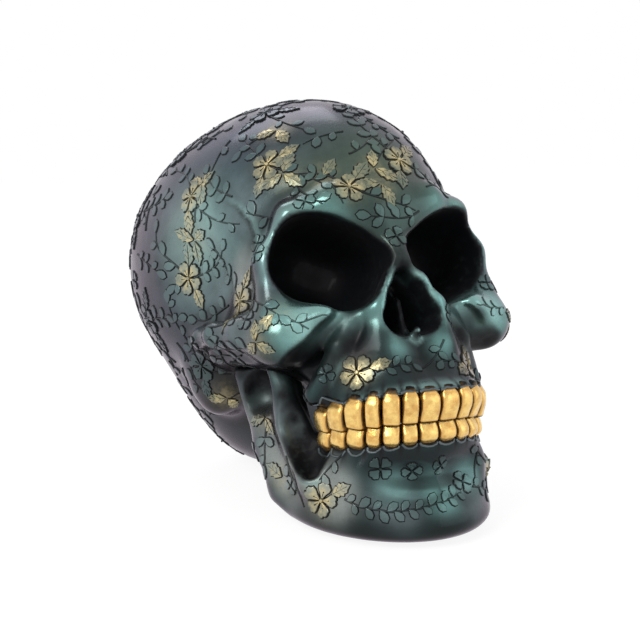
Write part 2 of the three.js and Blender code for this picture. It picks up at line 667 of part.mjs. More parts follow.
// Sections of a crown from the bite to the root: height, width, depth, all as shares
const CROWN_SECTIONS = {
  incisor: [[0, 0.93, 0.50], [0.10, 1, 0.66], [0.50, 1, 0.90], [0.80, 0.94, 1], [0.96, 0.78, 0.94]],
  canine: [[0, 0.74, 0.46], [0.12, 0.94, 0.70], [0.50, 1, 0.96], [0.80, 0.93, 1], [0.96, 0.76, 0.94]],
  premolar: [[0, 0.86, 0.74], [0.10, 0.98, 0.92], [0.50, 1, 1], [0.80, 0.94, 1], [0.96, 0.78, 0.94]],
  molar: [[0, 0.90, 0.80], [0.10, 1, 0.96], [0.50, 1, 1], [0.80, 0.95, 1], [0.96, 0.82, 0.94]],
};
const SECTION_POINTS = 10;
const SECTION_POWER = 3.4;

// Lofts a tooth with its bite at z = 0 and its root upwards
function toothGeometry(form, width, crown) {
  const rings = CROWN_SECTIONS[form].map(([t, w, d]) => [t * crown, w * width, d * TOOTH_DEPTH]);
  rings.push([crown + ROOT_DEPTH, 0.56 * width, 0.66 * TOOTH_DEPTH]);
  const flat = [];
  const tris = [];
  for (const [z, w, d] of rings) {
    for (let i = 0; i < SECTION_POINTS; i += 1) {
      const a = (i / SECTION_POINTS) * 2 * Math.PI;
      const c = Math.cos(a);
      const s = Math.sin(a);
      const rx = (w / 2) * Math.sign(c) * Math.abs(c) ** (2 / SECTION_POWER);
      const ry = (d / 2) * Math.sign(s) * Math.abs(s) ** (2 / SECTION_POWER);
      flat.push(rx, ry, z);
    }
  }
  const last = (rings.length - 1) * SECTION_POINTS;
  for (let r = 0; r < rings.length - 1; r += 1) {
    for (let i = 0; i < SECTION_POINTS; i += 1) {
      const j = (i + 1) % SECTION_POINTS;
      const a = r * SECTION_POINTS + i;
      const b = r * SECTION_POINTS + j;
      tris.push(a, b, b + SECTION_POINTS, a, b + SECTION_POINTS, a + SECTION_POINTS);
    }
  }
  for (let i = 1; i < SECTION_POINTS - 1; i += 1) {
    tris.push(0, i + 1, i);
    tris.push(last, last + i, last + i + 1);
  }
  const geometry = new THREE.BufferGeometry();
  geometry.setAttribute('position', new THREE.Float32BufferAttribute(flat, 3));
  geometry.setIndex(tris);
  return geometry;
}

// Four-sided socket that a tooth stands in, clear of its crown and root all round
function socketGeometry(width, crown) {
  const flat = [];
  const tris = [];
  const deep = crown + ROOT_DEPTH + SOCKET_FIT;
  for (const [z, w, d] of [[-SOCKET_FIT, 1, 1], [SHOULDER * crown, 1, 1], [deep, 0.6, 0.8]]) {
    const rx = (w * width) / 2 + SOCKET_FIT;
    const ry = (d * TOOTH_DEPTH) / 2 + SOCKET_FIT;
    flat.push(rx, ry, z, -rx, ry, z, -rx, -ry, z, rx, -ry, z);
  }
  for (const r of [0, 4]) {
    for (let i = 0; i < 4; i += 1) {
      const j = (i + 1) % 4;
      tris.push(r + i, r + j, r + j + 4, r + i, r + j + 4, r + i + 4);
    }
  }
  tris.push(0, 2, 1, 0, 3, 2, 8, 9, 10, 8, 10, 11);
  const geometry = new THREE.BufferGeometry();
  geometry.setAttribute('position', new THREE.Float32BufferAttribute(flat, 3));
  geometry.setIndex(tris);
  return geometry;
}

// Steps along a row of teeth: middle and heading of each tooth from the midline back
function rowLayout(row) {
  const path = [];
  for (let i = 0; i <= 2000; i += 1) {
    const t = (i / 2000) * (Math.PI / 2);
    const px = row.half * Math.sin(t) ** (2 / ARCH_POWER);
    const py = ARCH_MIDDLE_Y - row.reach * Math.cos(t) ** (2 / ARCH_POWER);
    path.push([px, py]);
  }
  path.push([row.half, ARCH_MIDDLE_Y + 30]);
  const along = (s) => {
    let left = s;
    for (let i = 1; i < path.length; i += 1) {
      const step = Math.hypot(path[i][0] - path[i - 1][0], path[i][1] - path[i - 1][1]);
      if (left <= step) {
        const t = left / step;
        return path[i].map((v, k) => path[i - 1][k] + t * (v - path[i - 1][k]));
      }
      left -= step;
    }
    return path[path.length - 1];
  };
  const scale = row.half / UPPER_ROW.half;
  let start = 0;
  return TEETH.map((tooth) => {
    const width = tooth.width * scale;
    const here = along(start + width / 2);
    const back = along(start + width / 2 + 1);
    const ahead = along(Math.max(start + width / 2 - 1, 0));
    start += width;
    const heading = Math.atan2(back[1] - ahead[1], back[0] - ahead[0]);
    return { ...tooth, width: width - TOOTH_GAP, x: here[0], y: here[1], heading };
  });
}

const resin = new THREE.MeshStandardMaterial({ color: 0x2f5f5c, roughness: 0.34, metalness: 0.35 });
const gilt = new THREE.MeshStandardMaterial({ color: 0xd8a640, roughness: 0.3, metalness: 0.85 });
const felt = new THREE.MeshStandardMaterial({ color: 0x1b1c1d, roughness: 0.95, metalness: 0 });

const skull = new THREE.Group();
const addMesh = (name, geometry, material) => {
  const mesh = new THREE.Mesh(geometry, material);
  mesh.name = name;
  skull.add(mesh);
};

let head = casting(craniumField, CRANIUM_FACETS);
let jaw = casting(mandibleField, MANDIBLE_FACETS);
for (const place of BLOSSOMS) head = head.add(blossomSolid(craniumField, place));

// Flat under the jaw and a flat spot on the back of the head, where the pads are stuck
const GROUND = { wide: 300, deep: 40 };
const below = (top) => solidOf(
  new THREE.BoxGeometry(GROUND.wide, GROUND.wide, GROUND.deep),
  moved(0, 0, top - GROUND.deep / 2),
);
head = head.subtract(below(HEEL_Z));
jaw = jaw.subtract(below(JAW_BASE_Z));

const teeth = [];
for (const side of [1, -1]) {
  for (const upper of [true, false]) {
    const row = upper ? UPPER_ROW : LOWER_ROW;
    for (const tooth of rowLayout(row)) {
      const crown = row.crown * (upper ? tooth.tall : 1 - (1 - tooth.tall) * 0.3);
      const bite = biteLine(tooth.y) + (upper ? BITE_PLAY : -BITE_PLAY);
      const place = moved(side * tooth.x, tooth.y + MIDDLE_SHIFT, bite + REST_DROP)
        .multiply(new THREE.Matrix4().makeRotationZ(side * tooth.heading));
      if (!upper) place.multiply(new THREE.Matrix4().makeRotationX(Math.PI));
      const socket = solidOf(socketGeometry(tooth.width, crown), place);
      if (upper) head = head.subtract(socket);
      else jaw = jaw.subtract(socket);
      const crownSolid = solidOf(toothGeometry(tooth.form, tooth.width, crown), place);
      const name = `${upper ? 'upper' : 'lower'}_${side > 0 ? 'left' : 'right'}_${tooth.name}`;
      teeth.push([name, crownSolid]);
    }
  }
}

const onePiece = (solid) => solid.decompose().sort((a, b) => b.volume() - a.volume())[0];
addMesh('cranium', toGeometry(onePiece(head)), resin);
addMesh('mandible', toGeometry(onePiece(jaw)), resin);
for (const [name, solid] of teeth) addMesh(name, toGeometry(solid), gilt);

// Felt pads under the jaw and under the back of the head
const addPad = (name, radius, x, y) => {
  const disc = new THREE.CylinderGeometry(radius, radius, PAD_THICK, 24);
  const stand = moved(x, y, PAD_THICK / 2).multiply(new THREE.Matrix4().makeRotationX(Math.PI / 2));
  addMesh(name, toGeometry(solidOf(disc, stand)), felt);
};
addPad('felt_pad_jaw_left', PAD_RADIUS, 18, -72);
addPad('felt_pad_jaw_right', PAD_RADIUS, -18, -72);
addPad('felt_pad_back', HEEL_PAD_RADIUS, 0, 42);

export default skull;
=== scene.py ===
"""Floral skull ornament: painted skins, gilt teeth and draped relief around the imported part."""

import json
import math

import bpy
import numpy as np
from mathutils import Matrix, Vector
from mathutils.bvhtree import BVHTree

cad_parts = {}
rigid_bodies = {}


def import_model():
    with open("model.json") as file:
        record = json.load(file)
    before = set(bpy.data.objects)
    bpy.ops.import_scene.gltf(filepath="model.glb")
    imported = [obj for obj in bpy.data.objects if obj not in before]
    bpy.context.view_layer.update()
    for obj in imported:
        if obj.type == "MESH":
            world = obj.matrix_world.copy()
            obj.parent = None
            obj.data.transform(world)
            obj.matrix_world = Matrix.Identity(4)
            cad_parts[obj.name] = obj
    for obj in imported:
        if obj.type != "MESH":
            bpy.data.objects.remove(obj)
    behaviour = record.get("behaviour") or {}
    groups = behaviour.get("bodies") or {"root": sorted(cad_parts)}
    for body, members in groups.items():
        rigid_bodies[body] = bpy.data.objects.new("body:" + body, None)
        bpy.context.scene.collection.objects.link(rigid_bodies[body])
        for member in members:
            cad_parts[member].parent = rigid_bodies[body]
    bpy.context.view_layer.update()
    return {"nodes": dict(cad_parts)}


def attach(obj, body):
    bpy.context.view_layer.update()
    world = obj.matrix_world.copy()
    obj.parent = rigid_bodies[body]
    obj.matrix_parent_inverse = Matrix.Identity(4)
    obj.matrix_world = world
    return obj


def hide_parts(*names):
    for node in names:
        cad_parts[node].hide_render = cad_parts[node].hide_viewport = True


bl_info = {
    "name": "Floral Skull Ornament",
    "version": (1, 0, 0),
    "blender": (4, 5, 0),
    "location": "View3D > Sidebar > Skull",
    "description": "Builds the looks of a cast resin skull with floral relief and gilt teeth",
    "category": "Object",
}

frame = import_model()

MM = 0.001
workshop = {}


# Form of the two castings, in millimetres, as signed distances

TIP_BACK = math.radians(22.2)
REST_DROP = 61.5
MIDDLE_SHIFT = 4.46
JAW_BASE = 1.8
HEEL_BASE = 1.8
CASTING_GAP = 0.15
ARCH_MIDDLE_Y = -72.0
ARCH_POWER = 2.4
ARCH_END_Y = -64

# Lines that slope along the rows of teeth: height at the front and rise towards the back
ROW_FRONT_Y = -108
BITE_LINE = (-12.5, -0.232)
UPPER_GUM_LINE = (-2.2, -0.325)
LOWER_GUM_LINE = (-19, -0.211)

# Horseshoes: half width and reach
UPPER_GUM = (33.6, 39.4)
UPPER_TONGUE_SIDE = (29, 34.4)
LOWER_GUM = (31.8, 37.6)
LOWER_TONGUE_SIDE = (27.4, 33)

# Eggs: middle and half axes
BRAINCASE = ((0, 2, 42), (65, 90.5, 69))
VAULT = ((0, 21, 48), (67, 67, 61))
NAPE = ((0, 42, -1), (38, 42, 44))
SOCKET_WALL = ((30, -50, 8), (24, 26, 30))
TEMPLE_DIP = ((100, -36, 25), (47.5, 50, 50))
BROW_MIDDLE = ((0, -84, 36), (16, 7, 11))
FACE_CORE = ((0, -54, -2), (32, 30, 42))
CHEEKBONE = ((45, -67, -9), (12.5, 12.5, 10.5))
UPPER_JAW = ((11, -76, -26), (14, 15.5, 18))
EAR_KNOB = ((44, 10, -8), (10, 14, 16))
SOCKET_CORNER = ((10.1, -89, 16.4), (5.4, 9, 5.4))
CHIN_DIP = ((22, -117, -34), (26, 14, 8))

# Cushions: middle, half axes, squareness and turn
EYE_SOCKET = ((27.6, -81, 16.6), (22.6, 36, 17.8), 2.6, (14, 4, 27))
JAW_NOTCH = ((46, -33.5, -23), (12.5, 11.5, 10.5), 2.4)

# Lower jaw: its plan, the swell at its foot and the room of its uprights
JAW_HALF = 37.5
JAW_MIDDLE_Y = -66
JAW_REACH = 46
JAW_HEIGHT = 28
FOOT_SWELL = 4
FOOT_SWELL_AT = 6
FOOT_SWELL_WIDTH = 8
UPRIGHT_DEPTH = (-46, -20)
UPRIGHT_RISE = (-66, -12)

# Nose opening: how it narrows inwards, how deep it goes, and the septum's room
NOSE_FUNNEL = 0.2
NOSE_FRONT_Y = -92
NOSE_DEPTH = (-125, -72)
SEPTUM_HALF = 1.2
SEPTUM_DEPTH = (-84, -64)
SEPTUM_RISE = (-26, 0)

# Bars: balls with their radii
BROW = (
    (8, -83.5, 37, 4.5), (22, -83.5, 40.5, 5), (37.5, -76.5, 37, 5.2),
    (47.5, -70, 21, 4.8), (49.5, -69, 3, 5),
)
ORBIT_FLOOR = ((16, -81, 2, 4.5), (33, -79, -6, 6.5), (46, -71, -9, 8))
NOSE_BRIDGE = ((0, -81, 30, 4.8), (0, -89.5, 14.5, 4))
NOSE_SIDE = ((3.5, -86, 20, 3.8), (9.5, -88.5, 6, 4), (14.5, -88, -5, 4.4), (15, -87, -20, 4.6))
NOSE_PEAR = ((0, 0, 7.4, 2.4), (3.2, 0, -0.6, 4.7), (5.4, 0, -9.6, 7.3))
CHEEK_ARCH = (
    (49, -65, -8.5, 7.5), (57, -54, -3.5, 5.8), (61, -38, 0.5, 5), (60.5, -22, 3.5, 4), (55, -8, 5, 2),
)
ARCH_ROOT = ((44, -54, -7, 8), (47, -40, -4, 8), (48, -18, -1, 8.5))
CHEEK_HOLLOW = (
    (44, -74, -27, 8), (43, -63, -34, 8.5), (41, -58, -42, 8), (39, -58, -52, 7), (38.5, -58.5, -63, 3),
)
CHEEK_GROOVE = ((24.5, -87, -3, 2.4), (33, -84, -13.5, 4.6), (41, -79, -23, 8))
CANINE_HOLLOW = ((25, -96, -8, 7), (31, -97, -24, 10))
CHEEK_RIDGE = ((17.5, -84, -4, 2.4), (28, -79.5, -17, 3), (36, -68, -33, 4.4))
NOSE_SPINE = ((0, -85, -22, 3), (0, -93.5, -16, 1.4))
RAMUS_BACK = ((38, -30, -60, 7), (39, -26, -45, 5.4), (42, -18, -13, 4.8))
RAMUS_FRONT = ((38, -56, -66, 6), (38, -47.5, -42, 4.4), (40, -46.5, -17, 4.2))


def blend_in(a, b, k):
    """Joins two forms with a fillet of width k."""
    h = np.maximum(k - np.abs(a - b), 0) / k
    return np.minimum(a, b) - h * h * k * 0.25


def blend_out(a, b, k):
    """Keeps what two forms share, with a fillet of width k."""
    return -blend_in(-a, -b, k)


def band(v, low, high):
    return np.maximum(low - v, v - high)


def egg(x, y, z, c, r):
    px = x - c[0]
    py = y - c[1]
    pz = z - c[2]
    k0 = np.sqrt((px / r[0]) ** 2 + (py / r[1]) ** 2 + (pz / r[2]) ** 2) + 1e-6
    k1 = np.sqrt((px / r[0] ** 2) ** 2 + (py / r[1] ** 2) ** 2 + (pz / r[2] ** 2) ** 2) + 1e-6
    return k0 * (k0 - 1) / k1


def taper(x, y, z, a, b):
    dx = b[0] - a[0]
    dy = b[1] - a[1]
    dz = b[2] - a[2]
    dot = (x - a[0]) * dx + (y - a[1]) * dy + (z - a[2]) * dz
    t = np.clip(dot / (dx * dx + dy * dy + dz * dz), 0, 1)
    away = np.sqrt((x - a[0] - t * dx) ** 2 + (y - a[1] - t * dy) ** 2 + (z - a[2] - t * dz) ** 2)
    return away - (a[3] + (b[3] - a[3]) * t)


def bar(x, y, z, balls, k):
    """A bar that tapers from ball to ball."""
    d = taper(x, y, z, balls[0], balls[1])
    for i in range(1, len(balls) - 1):
        d = blend_in(d, taper(x, y, z, balls[i], balls[i + 1]), k)
    return d


def cushion(x, y, z, c, r, power, turn=(0, 0, 0)):
    """A squared-off egg, turned about Z, then X, then Y."""
    px = x - c[0]
    py = y - c[1]
    pz = z - c[2]
    (yc, ys), (pc, ps), (rc, rs) = [(math.cos(math.radians(a)), math.sin(math.radians(a))) for a in turn]
    px, py = yc * px + ys * py, yc * py - ys * px
    py, pz = pc * py + ps * pz, pc * pz - ps * py
    px, pz = rc * px + rs * pz, rc * pz - rs * px
    q = np.abs(px / r[0]) ** power + np.abs(py / r[1]) ** power + np.abs(pz / r[2]) ** power
    return (q ** (1 / power) - 1) * min(r)


def horseshoe(x, yu, half, reach):
    front = np.abs(np.minimum(yu - ARCH_MIDDLE_Y, 0) / reach) ** ARCH_POWER
    q = ((x / half) ** ARCH_POWER + front) ** (1 / ARCH_POWER)
    return blend_out((q - 1) * half, yu - ARCH_END_Y, 8)


def sloping(line, yu):
    return line[0] + line[1] * (yu - ROW_FRONT_Y)


def eye_socket(x, y, z):
    return blend_in(cushion(x, y, z, *EYE_SOCKET), egg(x, y, z, *SOCKET_CORNER), 5)


def nose_opening(x, y, z):
    funnel = NOSE_FUNNEL * np.maximum(y - NOSE_FRONT_Y, 0)
    return blend_out(bar(x, 0, z, NOSE_PEAR, 3) + funnel, band(y, *NOSE_DEPTH), 6)


def cranium_form(x, y, z, yu, zu):
    """The cranium as it is, and as it was before its dark hollows were cut."""
    d = blend_in(egg(x, y, z, *BRAINCASE), egg(x, y, z, *VAULT), 14)
    d = blend_in(d, egg(x, y, z, *NAPE), 24)
    d = blend_in(d, egg(x, y, z, *SOCKET_WALL), 10)
    d = blend_out(d, -egg(x, y, z, *TEMPLE_DIP), 4)
    brow = blend_in(egg(x, y, z, *BROW_MIDDLE), bar(x, y, z, BROW, 6), 8)
    d = blend_in(d, brow, 9)
    d = blend_in(d, egg(x, y, z, *FACE_CORE), 10)
    cheek = blend_in(egg(x, y, z, *CHEEKBONE), bar(x, y, z, ORBIT_FLOOR, 8), 10)
    d = blend_in(d, cheek, 8)
    nose = blend_in(bar(x, y, z, NOSE_BRIDGE, 6), bar(x, y, z, NOSE_SIDE, 6), 7)
    d = blend_in(d, nose, 5)
    gum_line = sloping(UPPER_GUM_LINE, yu)
    ahead = np.clip((-yu - 78) / 18, 0, 1)
    lean = 1.1 * ahead * np.maximum(zu - gum_line - 1.5, 0)
    gum = blend_out(0.7 * (horseshoe(x, yu, *UPPER_GUM) + lean), band(zu, gum_line, 24 * ahead), 4)
    tongue_room = band(zu, sloping(BITE_LINE, yu) + 0.8, gum_line + 3)
    tongue_side = blend_out(horseshoe(x, yu, *UPPER_TONGUE_SIDE), tongue_room, 3)
    gum = blend_in(gum, tongue_side, 3)
    d = blend_in(d, blend_in(egg(x, y, z, *UPPER_JAW), gum, 11), 9)
    d = blend_in(d, blend_in(bar(x, y, z, CHEEK_ARCH, 3), bar(x, y, z, ARCH_ROOT, 4), 6), 8)
    d = blend_in(d, egg(x, y, z, *EAR_KNOB), 14)
    canine = bar(x, y, z, CANINE_HOLLOW, 6)
    ridge = bar(x, y, z, CHEEK_RIDGE, 4)
    uncut = blend_in(blend_out(d, -canine, 8), ridge, 4)
    hollow = blend_in(bar(x, y, z, CHEEK_HOLLOW, 8), bar(x, y, z, CHEEK_GROOVE, 6), 4)
    d = blend_out(d, -hollow, 3)
    d = blend_in(blend_out(d, -canine, 8), ridge, 4)
    eye = eye_socket(x, y, z)
    opening = nose_opening(x, y, z)
    d = blend_out(d, -eye, 2.5)
    d = blend_out(d, -opening, 2)
    septum_room = np.maximum(band(y, *SEPTUM_DEPTH), band(z, *SEPTUM_RISE))
    septum = blend_out(x - SEPTUM_HALF, septum_room, 2)
    d = blend_in(d, blend_in(septum, bar(x, y, z, NOSE_SPINE, 2), 2), 2)
    hollow = np.maximum(hollow, 3.2 - 1.6 * np.maximum(ridge, 0))
    return np.maximum(d, HEEL_BASE - REST_DROP - zu), uncut, np.minimum(eye, opening), hollow


def mandible_form(x, y, z, yu, zu):
    """The lower jaw as it is, and as it was before its dark hollows were cut."""
    h = zu + REST_DROP - JAW_BASE
    q = np.hypot(x / JAW_HALF, np.minimum(yu - JAW_MIDDLE_Y, 0) / JAW_REACH)
    swell = FOOT_SWELL * np.exp(-(((h - FOOT_SWELL_AT) / FOOT_SWELL_WIDTH) ** 2))
    wall = (q - 1) * JAW_HALF - swell
    d = blend_out(blend_out(wall, band(h, -0.4, JAW_HEIGHT), 6), yu + 42, 18)
    gum_line = sloping(LOWER_GUM_LINE, yu)
    gum = blend_out(horseshoe(x, yu, *LOWER_GUM), band(zu, -42, gum_line), 4)
    tongue_room = band(zu, -42, sloping(BITE_LINE, yu) - 0.8)
    tongue_side = blend_out(horseshoe(x, yu, *LOWER_TONGUE_SIDE), tongue_room, 3)
    d = blend_in(d, blend_in(gum, tongue_side, 3), 10)
    upright = blend_in(bar(x, y, z, RAMUS_BACK, 8), bar(x, y, z, RAMUS_FRONT, 8), 4)
    plate = blend_out(band(y, *UPRIGHT_DEPTH), band(z, *UPRIGHT_RISE), 6)
    upright = blend_in(upright, blend_out(np.abs(x - 37.5 - z * 0.05) - 7, plate, 3), 6)
    notch = cushion(x, y, z, *JAW_NOTCH)
    notched = blend_out(upright, -notch, 3)
    dip = -egg(x, yu, zu, *CHIN_DIP)
    uncut = blend_out(blend_in(d, upright, 8), dip, 8)
    d = blend_in(d, notched, 8)
    hollow = bar(x, y, z, CHEEK_HOLLOW, 8)
    d = blend_out(d, -hollow, 3)
    d = blend_out(d, dip, 8)
    return np.maximum(d, -h), uncut, notch, hollow


def standing(form):
    """A form laid out on the level line from ear hole to eye socket, tipped back as it stands."""
    c = math.cos(TIP_BACK)
    s = math.sin(TIP_BACK)

    def placed(px, py, pz):
        x = np.sqrt(px * px + 0.01)
        yu = py - MIDDLE_SHIFT
        zu = pz - REST_DROP
        return form(x, c * yu - s * zu, s * yu + c * zu, yu, zu)

    return placed


cranium_pair = standing(cranium_form)
jaw_pair = standing(mandible_form)


def cranium_field(x, y, z):
    return cranium_pair(x, y, z)[0]


def mandible_field(x, y, z):
    return np.maximum(jaw_pair(x, y, z)[0], CASTING_GAP - cranium_field(x, y, z))


def whole_field(x, y, z):
    return np.minimum(cranium_field(x, y, z), jaw_pair(x, y, z)[0])


# Skins: one point for each grid cell that the surface crosses, settled onto the form

def net_half(field, low, high, step):
    """Faces the half of a form with x >= 0; points on the mirror plane have x = 0."""
    axes = [
        (np.arange(int(high[0] / step) + 3) - 0.5) * step,
        np.arange(low[1], high[1] + step, step),
        np.arange(low[2], high[2] + step, step),
    ]
    grid = np.meshgrid(*[a.astype(np.float32) for a in axes], indexing="ij")
    value = field(*grid)
    inside = value < 0
    cells = np.array(value.shape) - 1
    count = np.zeros(cells, np.int8)
    for i, j, k in np.ndindex(2, 2, 2):
        count += inside[i:i + cells[0], j:j + cells[1], k:k + cells[2]]
    mixed = (count > 0) & (count < 8)
    cell = np.argwhere(mixed)
    index = np.full(cells, -1)
    index[mixed] = np.arange(len(cell))
    total = np.zeros((len(cell), 3))
    hits = np.zeros(len(cell))
    for axis in range(3):
        for a, b in np.ndindex(2, 2):
            start = np.zeros(3, int)
            start[(axis + 1) % 3] = a
            start[(axis + 2) % 3] = b
            end = start.copy()
            end[axis] = 1
            v0 = value[tuple((cell + start).T)]
            v1 = value[tuple((cell + end).T)]
            cross = (v0 < 0) != (v1 < 0)
            spot = np.tile(start.astype(float), (len(cell), 1))
            spot[:, axis] = v0 / np.where(cross, v0 - v1, 1)
            total[cross] += spot[cross]
            hits += cross
    origin = np.array([a[0] for a in axes])
    points = origin + (cell + total / hits[:, None]) * step
    points[cell[:, 0] == 0, 0] = 0
    quads = []
    for axis in range(3):
        u = (axis + 1) % 3
        v = (axis + 2) % 3
        lower = np.delete(inside, -1, axis)
        upper = np.delete(inside, 0, axis)
        edge = np.argwhere(lower != upper)
        keep = (edge[:, u] > 0) & (edge[:, v] > 0) & (edge[:, u] < cells[u]) & (edge[:, v] < cells[v])
        edge = edge[keep]
        outward = lower[tuple(edge.T)]
        eu = np.eye(3, dtype=int)[u]
        ev = np.eye(3, dtype=int)[v]
        ring = [index[tuple((edge - eu - ev).T)], index[tuple((edge - ev).T)]]
        ring += [index[tuple(edge.T)], index[tuple((edge - eu).T)]]
        quad = np.stack(ring, 1)
        quad[~outward] = quad[~outward][:, ::-1]
        quads.append(quad)
    return points, np.concatenate(quads)


def largest_sheet(points, quads):
    """Drops loose scraps and keeps the one connected skin."""
    label = np.arange(len(points))
    while True:
        least = label[quads].min(1)
        fresh = label.copy()
        np.minimum.at(fresh, quads.ravel(), np.repeat(least, 4))
        fresh = fresh[fresh]
        if (fresh == label).all():
            break
        label = fresh
    names, sizes = np.unique(label[quads[:, 0]], return_counts=True)
    quads = quads[label[quads[:, 0]] == names[sizes.argmax()]]
    used = np.unique(quads)
    renumber = np.zeros(len(points), int)
    renumber[used] = np.arange(len(used))
    return points[used], renumber[quads]


def slope(field, p, e=0.05):
    """Value and gradient of a form at points."""
    x, y, z = p.T
    g = np.stack([
        field(x + e, y, z) - field(x - e, y, z),
        field(x, y + e, z) - field(x, y - e, z),
        field(x, y, z + e) - field(x, y, z - e),
    ], 1)
    return field(x, y, z), g / (2 * e)


def settle(field, points, step, rounds=4):
    """Moves points onto the form and returns them with their outward directions."""
    middle = points[:, 0] == 0
    for _ in range(rounds):
        f, g = slope(field, points)
        move = np.clip(f / np.maximum((g * g).sum(1), 0.05), -0.3 * step, 0.3 * step)
        points = points - move[:, None] * g
        points[:, 0] = np.where(middle, 0, np.maximum(points[:, 0], 0.02))
    g = slope(field, points)[1]
    g[middle, 0] = 0
    return points, g / np.maximum(np.linalg.norm(g, axis=1), 1e-9)[:, None]


def mirrored(points, normals, quads):
    """Adds the other half of a skin and sews it along the middle."""
    half = len(points)
    off_plane = np.flatnonzero(points[:, 0] != 0)
    other = np.arange(half)
    other[off_plane] = half + np.arange(len(off_plane))
    flip = np.array([-1, 1, 1])
    all_points = np.concatenate([points, points[off_plane] * flip])
    all_normals = np.concatenate([normals, normals[off_plane] * flip])
    source = np.concatenate([np.arange(half), off_plane])
    return all_points, all_normals, np.concatenate([quads, other[quads][:, ::-1]]), source


def smooth_step(v, low, high):
    t = np.clip((v - low) / (high - low), 0, 1)
    return t * t * (3 - 2 * t)


class Surface:
    """A painted skin in millimetres, with what the relief needs to know about it."""

    def __init__(self, points, normals, quads, bare):
        self.points = points
        self.normals = normals
        self.quads = quads
        self.bare = bare
        self.tree = BVHTree.FromPolygons(points.tolist(), quads.tolist())

    def drop(self, place):
        """The nearest spot on the skin, its outward direction and how bare it has to stay."""
        spot, _, face, _ = self.tree.find_nearest(Vector(place))
        corners = self.quads[face]
        spot = np.array(spot)
        near = corners[((self.points[corners] - spot) ** 2).sum(1).argmin()]
        return spot, self.normals[near], self.bare[near]


# Rows of teeth

ROWS = {
    "upper": {"half": 31.0, "reach": 36.4, "crown": 12.8},
    "lower": {"half": 29.6, "reach": 35.0, "crown": 8.4},
}
TOOTH_GAP = 0.05
BITE_PLAY = -0.12
TOOTH_DEPTH = 8.0
LOWER_EVENNESS = 0.3
TEETH = (
    ("central_incisor", 8.4, 0.97, "incisor"),
    ("lateral_incisor", 6.6, 1.00, "incisor"),
    ("canine", 7.2, 1.00, "canine"),
    ("first_premolar", 6.2, 0.97, "premolar"),
    ("second_premolar", 8.6, 0.93, "premolar"),
    ("first_molar", 9.4, 0.86, "molar"),
    ("second_molar", 9.6, 0.74, "molar"),
)
BITE_DEPTH = {"incisor": 0.52, "canine": 0.56, "premolar": 0.80, "molar": 0.86}
BITE_WIDTH = {"incisor": 0.95, "canine": 0.95, "premolar": 0.93, "molar": 0.93}


def row_places(row):
    """Middle, heading and width of each tooth of one half row, from the midline back."""
    t = np.linspace(0, math.pi / 2, 2001)
    px = row["half"] * np.sin(t) ** (2 / ARCH_POWER)
    py = ARCH_MIDDLE_Y - row["reach"] * np.maximum(np.cos(t), 0) ** (2 / ARCH_POWER)
    px = np.append(px, row["half"])
    py = np.append(py, ARCH_MIDDLE_Y + 30)
    run = np.concatenate([[0], np.cumsum(np.hypot(np.diff(px), np.diff(py)))])
    scale = row["half"] / ROWS["upper"]["half"]
    start = 0.0
    places = []
    for name, width, tall, form in TEETH:
        width *= scale
        mid = start + width / 2
        stops = (mid, mid + 1, max(mid - 1, 0))
        here, back, ahead = [np.array([np.interp(s, run, px), np.interp(s, run, py)]) for s in stops]
        heading = math.atan2(back[1] - ahead[1], back[0] - ahead[0])
        places.append((name, here, heading, width - TOOTH_GAP, tall, form))
        start += width
    return places


def every_tooth():
    """Each tooth with its place: name, jaw, form, width, crown, origin and axes, in millimetres."""
    found = []
    for jaw, row in ROWS.items():
        for side in (1, -1):
            for name, here, heading, width, tall, form in row_places(row):
                share = tall if jaw == "upper" else 1 - (1 - tall) * LOWER_EVENNESS
                crown = row["crown"] * share
                bite = sloping(BITE_LINE, here[1]) + (BITE_PLAY if jaw == "upper" else -BITE_PLAY)
                origin = np.array([side * here[0], here[1] + MIDDLE_SHIFT, bite + REST_DROP])
                turn = side * heading
                along = np.array([math.cos(turn), math.sin(turn), 0])
                inward = np.array([-math.sin(turn), math.cos(turn), 0])
                rootward = np.array([0, 0, 1.0])
                if jaw == "lower":
                    rootward = -rootward
                label = f"{jaw}_{'left' if side > 0 else 'right'}_{name}"
                found.append((label, jaw, form, width, crown, origin, (along, inward, rootward)))
    return found


NECK_BEND = 0.42
GROOVE_RANGE = (0.5, 1.7)
GROOVE_DEPTH = 9
GROOVE_BELOW = -6
# Painted shade of flutes between the roots
FLUTE_WIDTH = 0.8
FLUTE_RANGE = (0.5, 8.0)
FLUTE_SHADE_SHARE = 0.9


def gum_shadow(points):
    """How much of the dark groove round the teeth, and of the painted shade of flutes between the roots,
    falls on each point.
    """
    shade = np.zeros(len(points))
    for _, _, _, width, crown, origin, (along, inward, rootward) in every_tooth():
        p = points - origin
        lx = np.abs(p @ along)
        ly = p @ inward
        lz = p @ rootward
        bend = NECK_BEND * width
        qx = lx - (width / 2 - bend)
        qz = lz - (crown - bend)
        away = np.hypot(np.maximum(qx, 0), np.maximum(qz, 0)) + np.minimum(np.maximum(qx, qz), 0) - bend
        at_row = np.abs(ly) < GROOVE_DEPTH
        near = (1 - smooth_step(away, *GROOVE_RANGE)) * at_row * (lz > GROOVE_BELOW)
        between = np.exp(-(((lx - width / 2) / FLUTE_WIDTH) ** 2))
        flute = between * (1 - smooth_step(lz - crown, *FLUTE_RANGE))
        shade = np.maximum(shade, np.maximum(near, FLUTE_SHADE_SHARE * flute * at_row * (lz > 0)))
    return shade
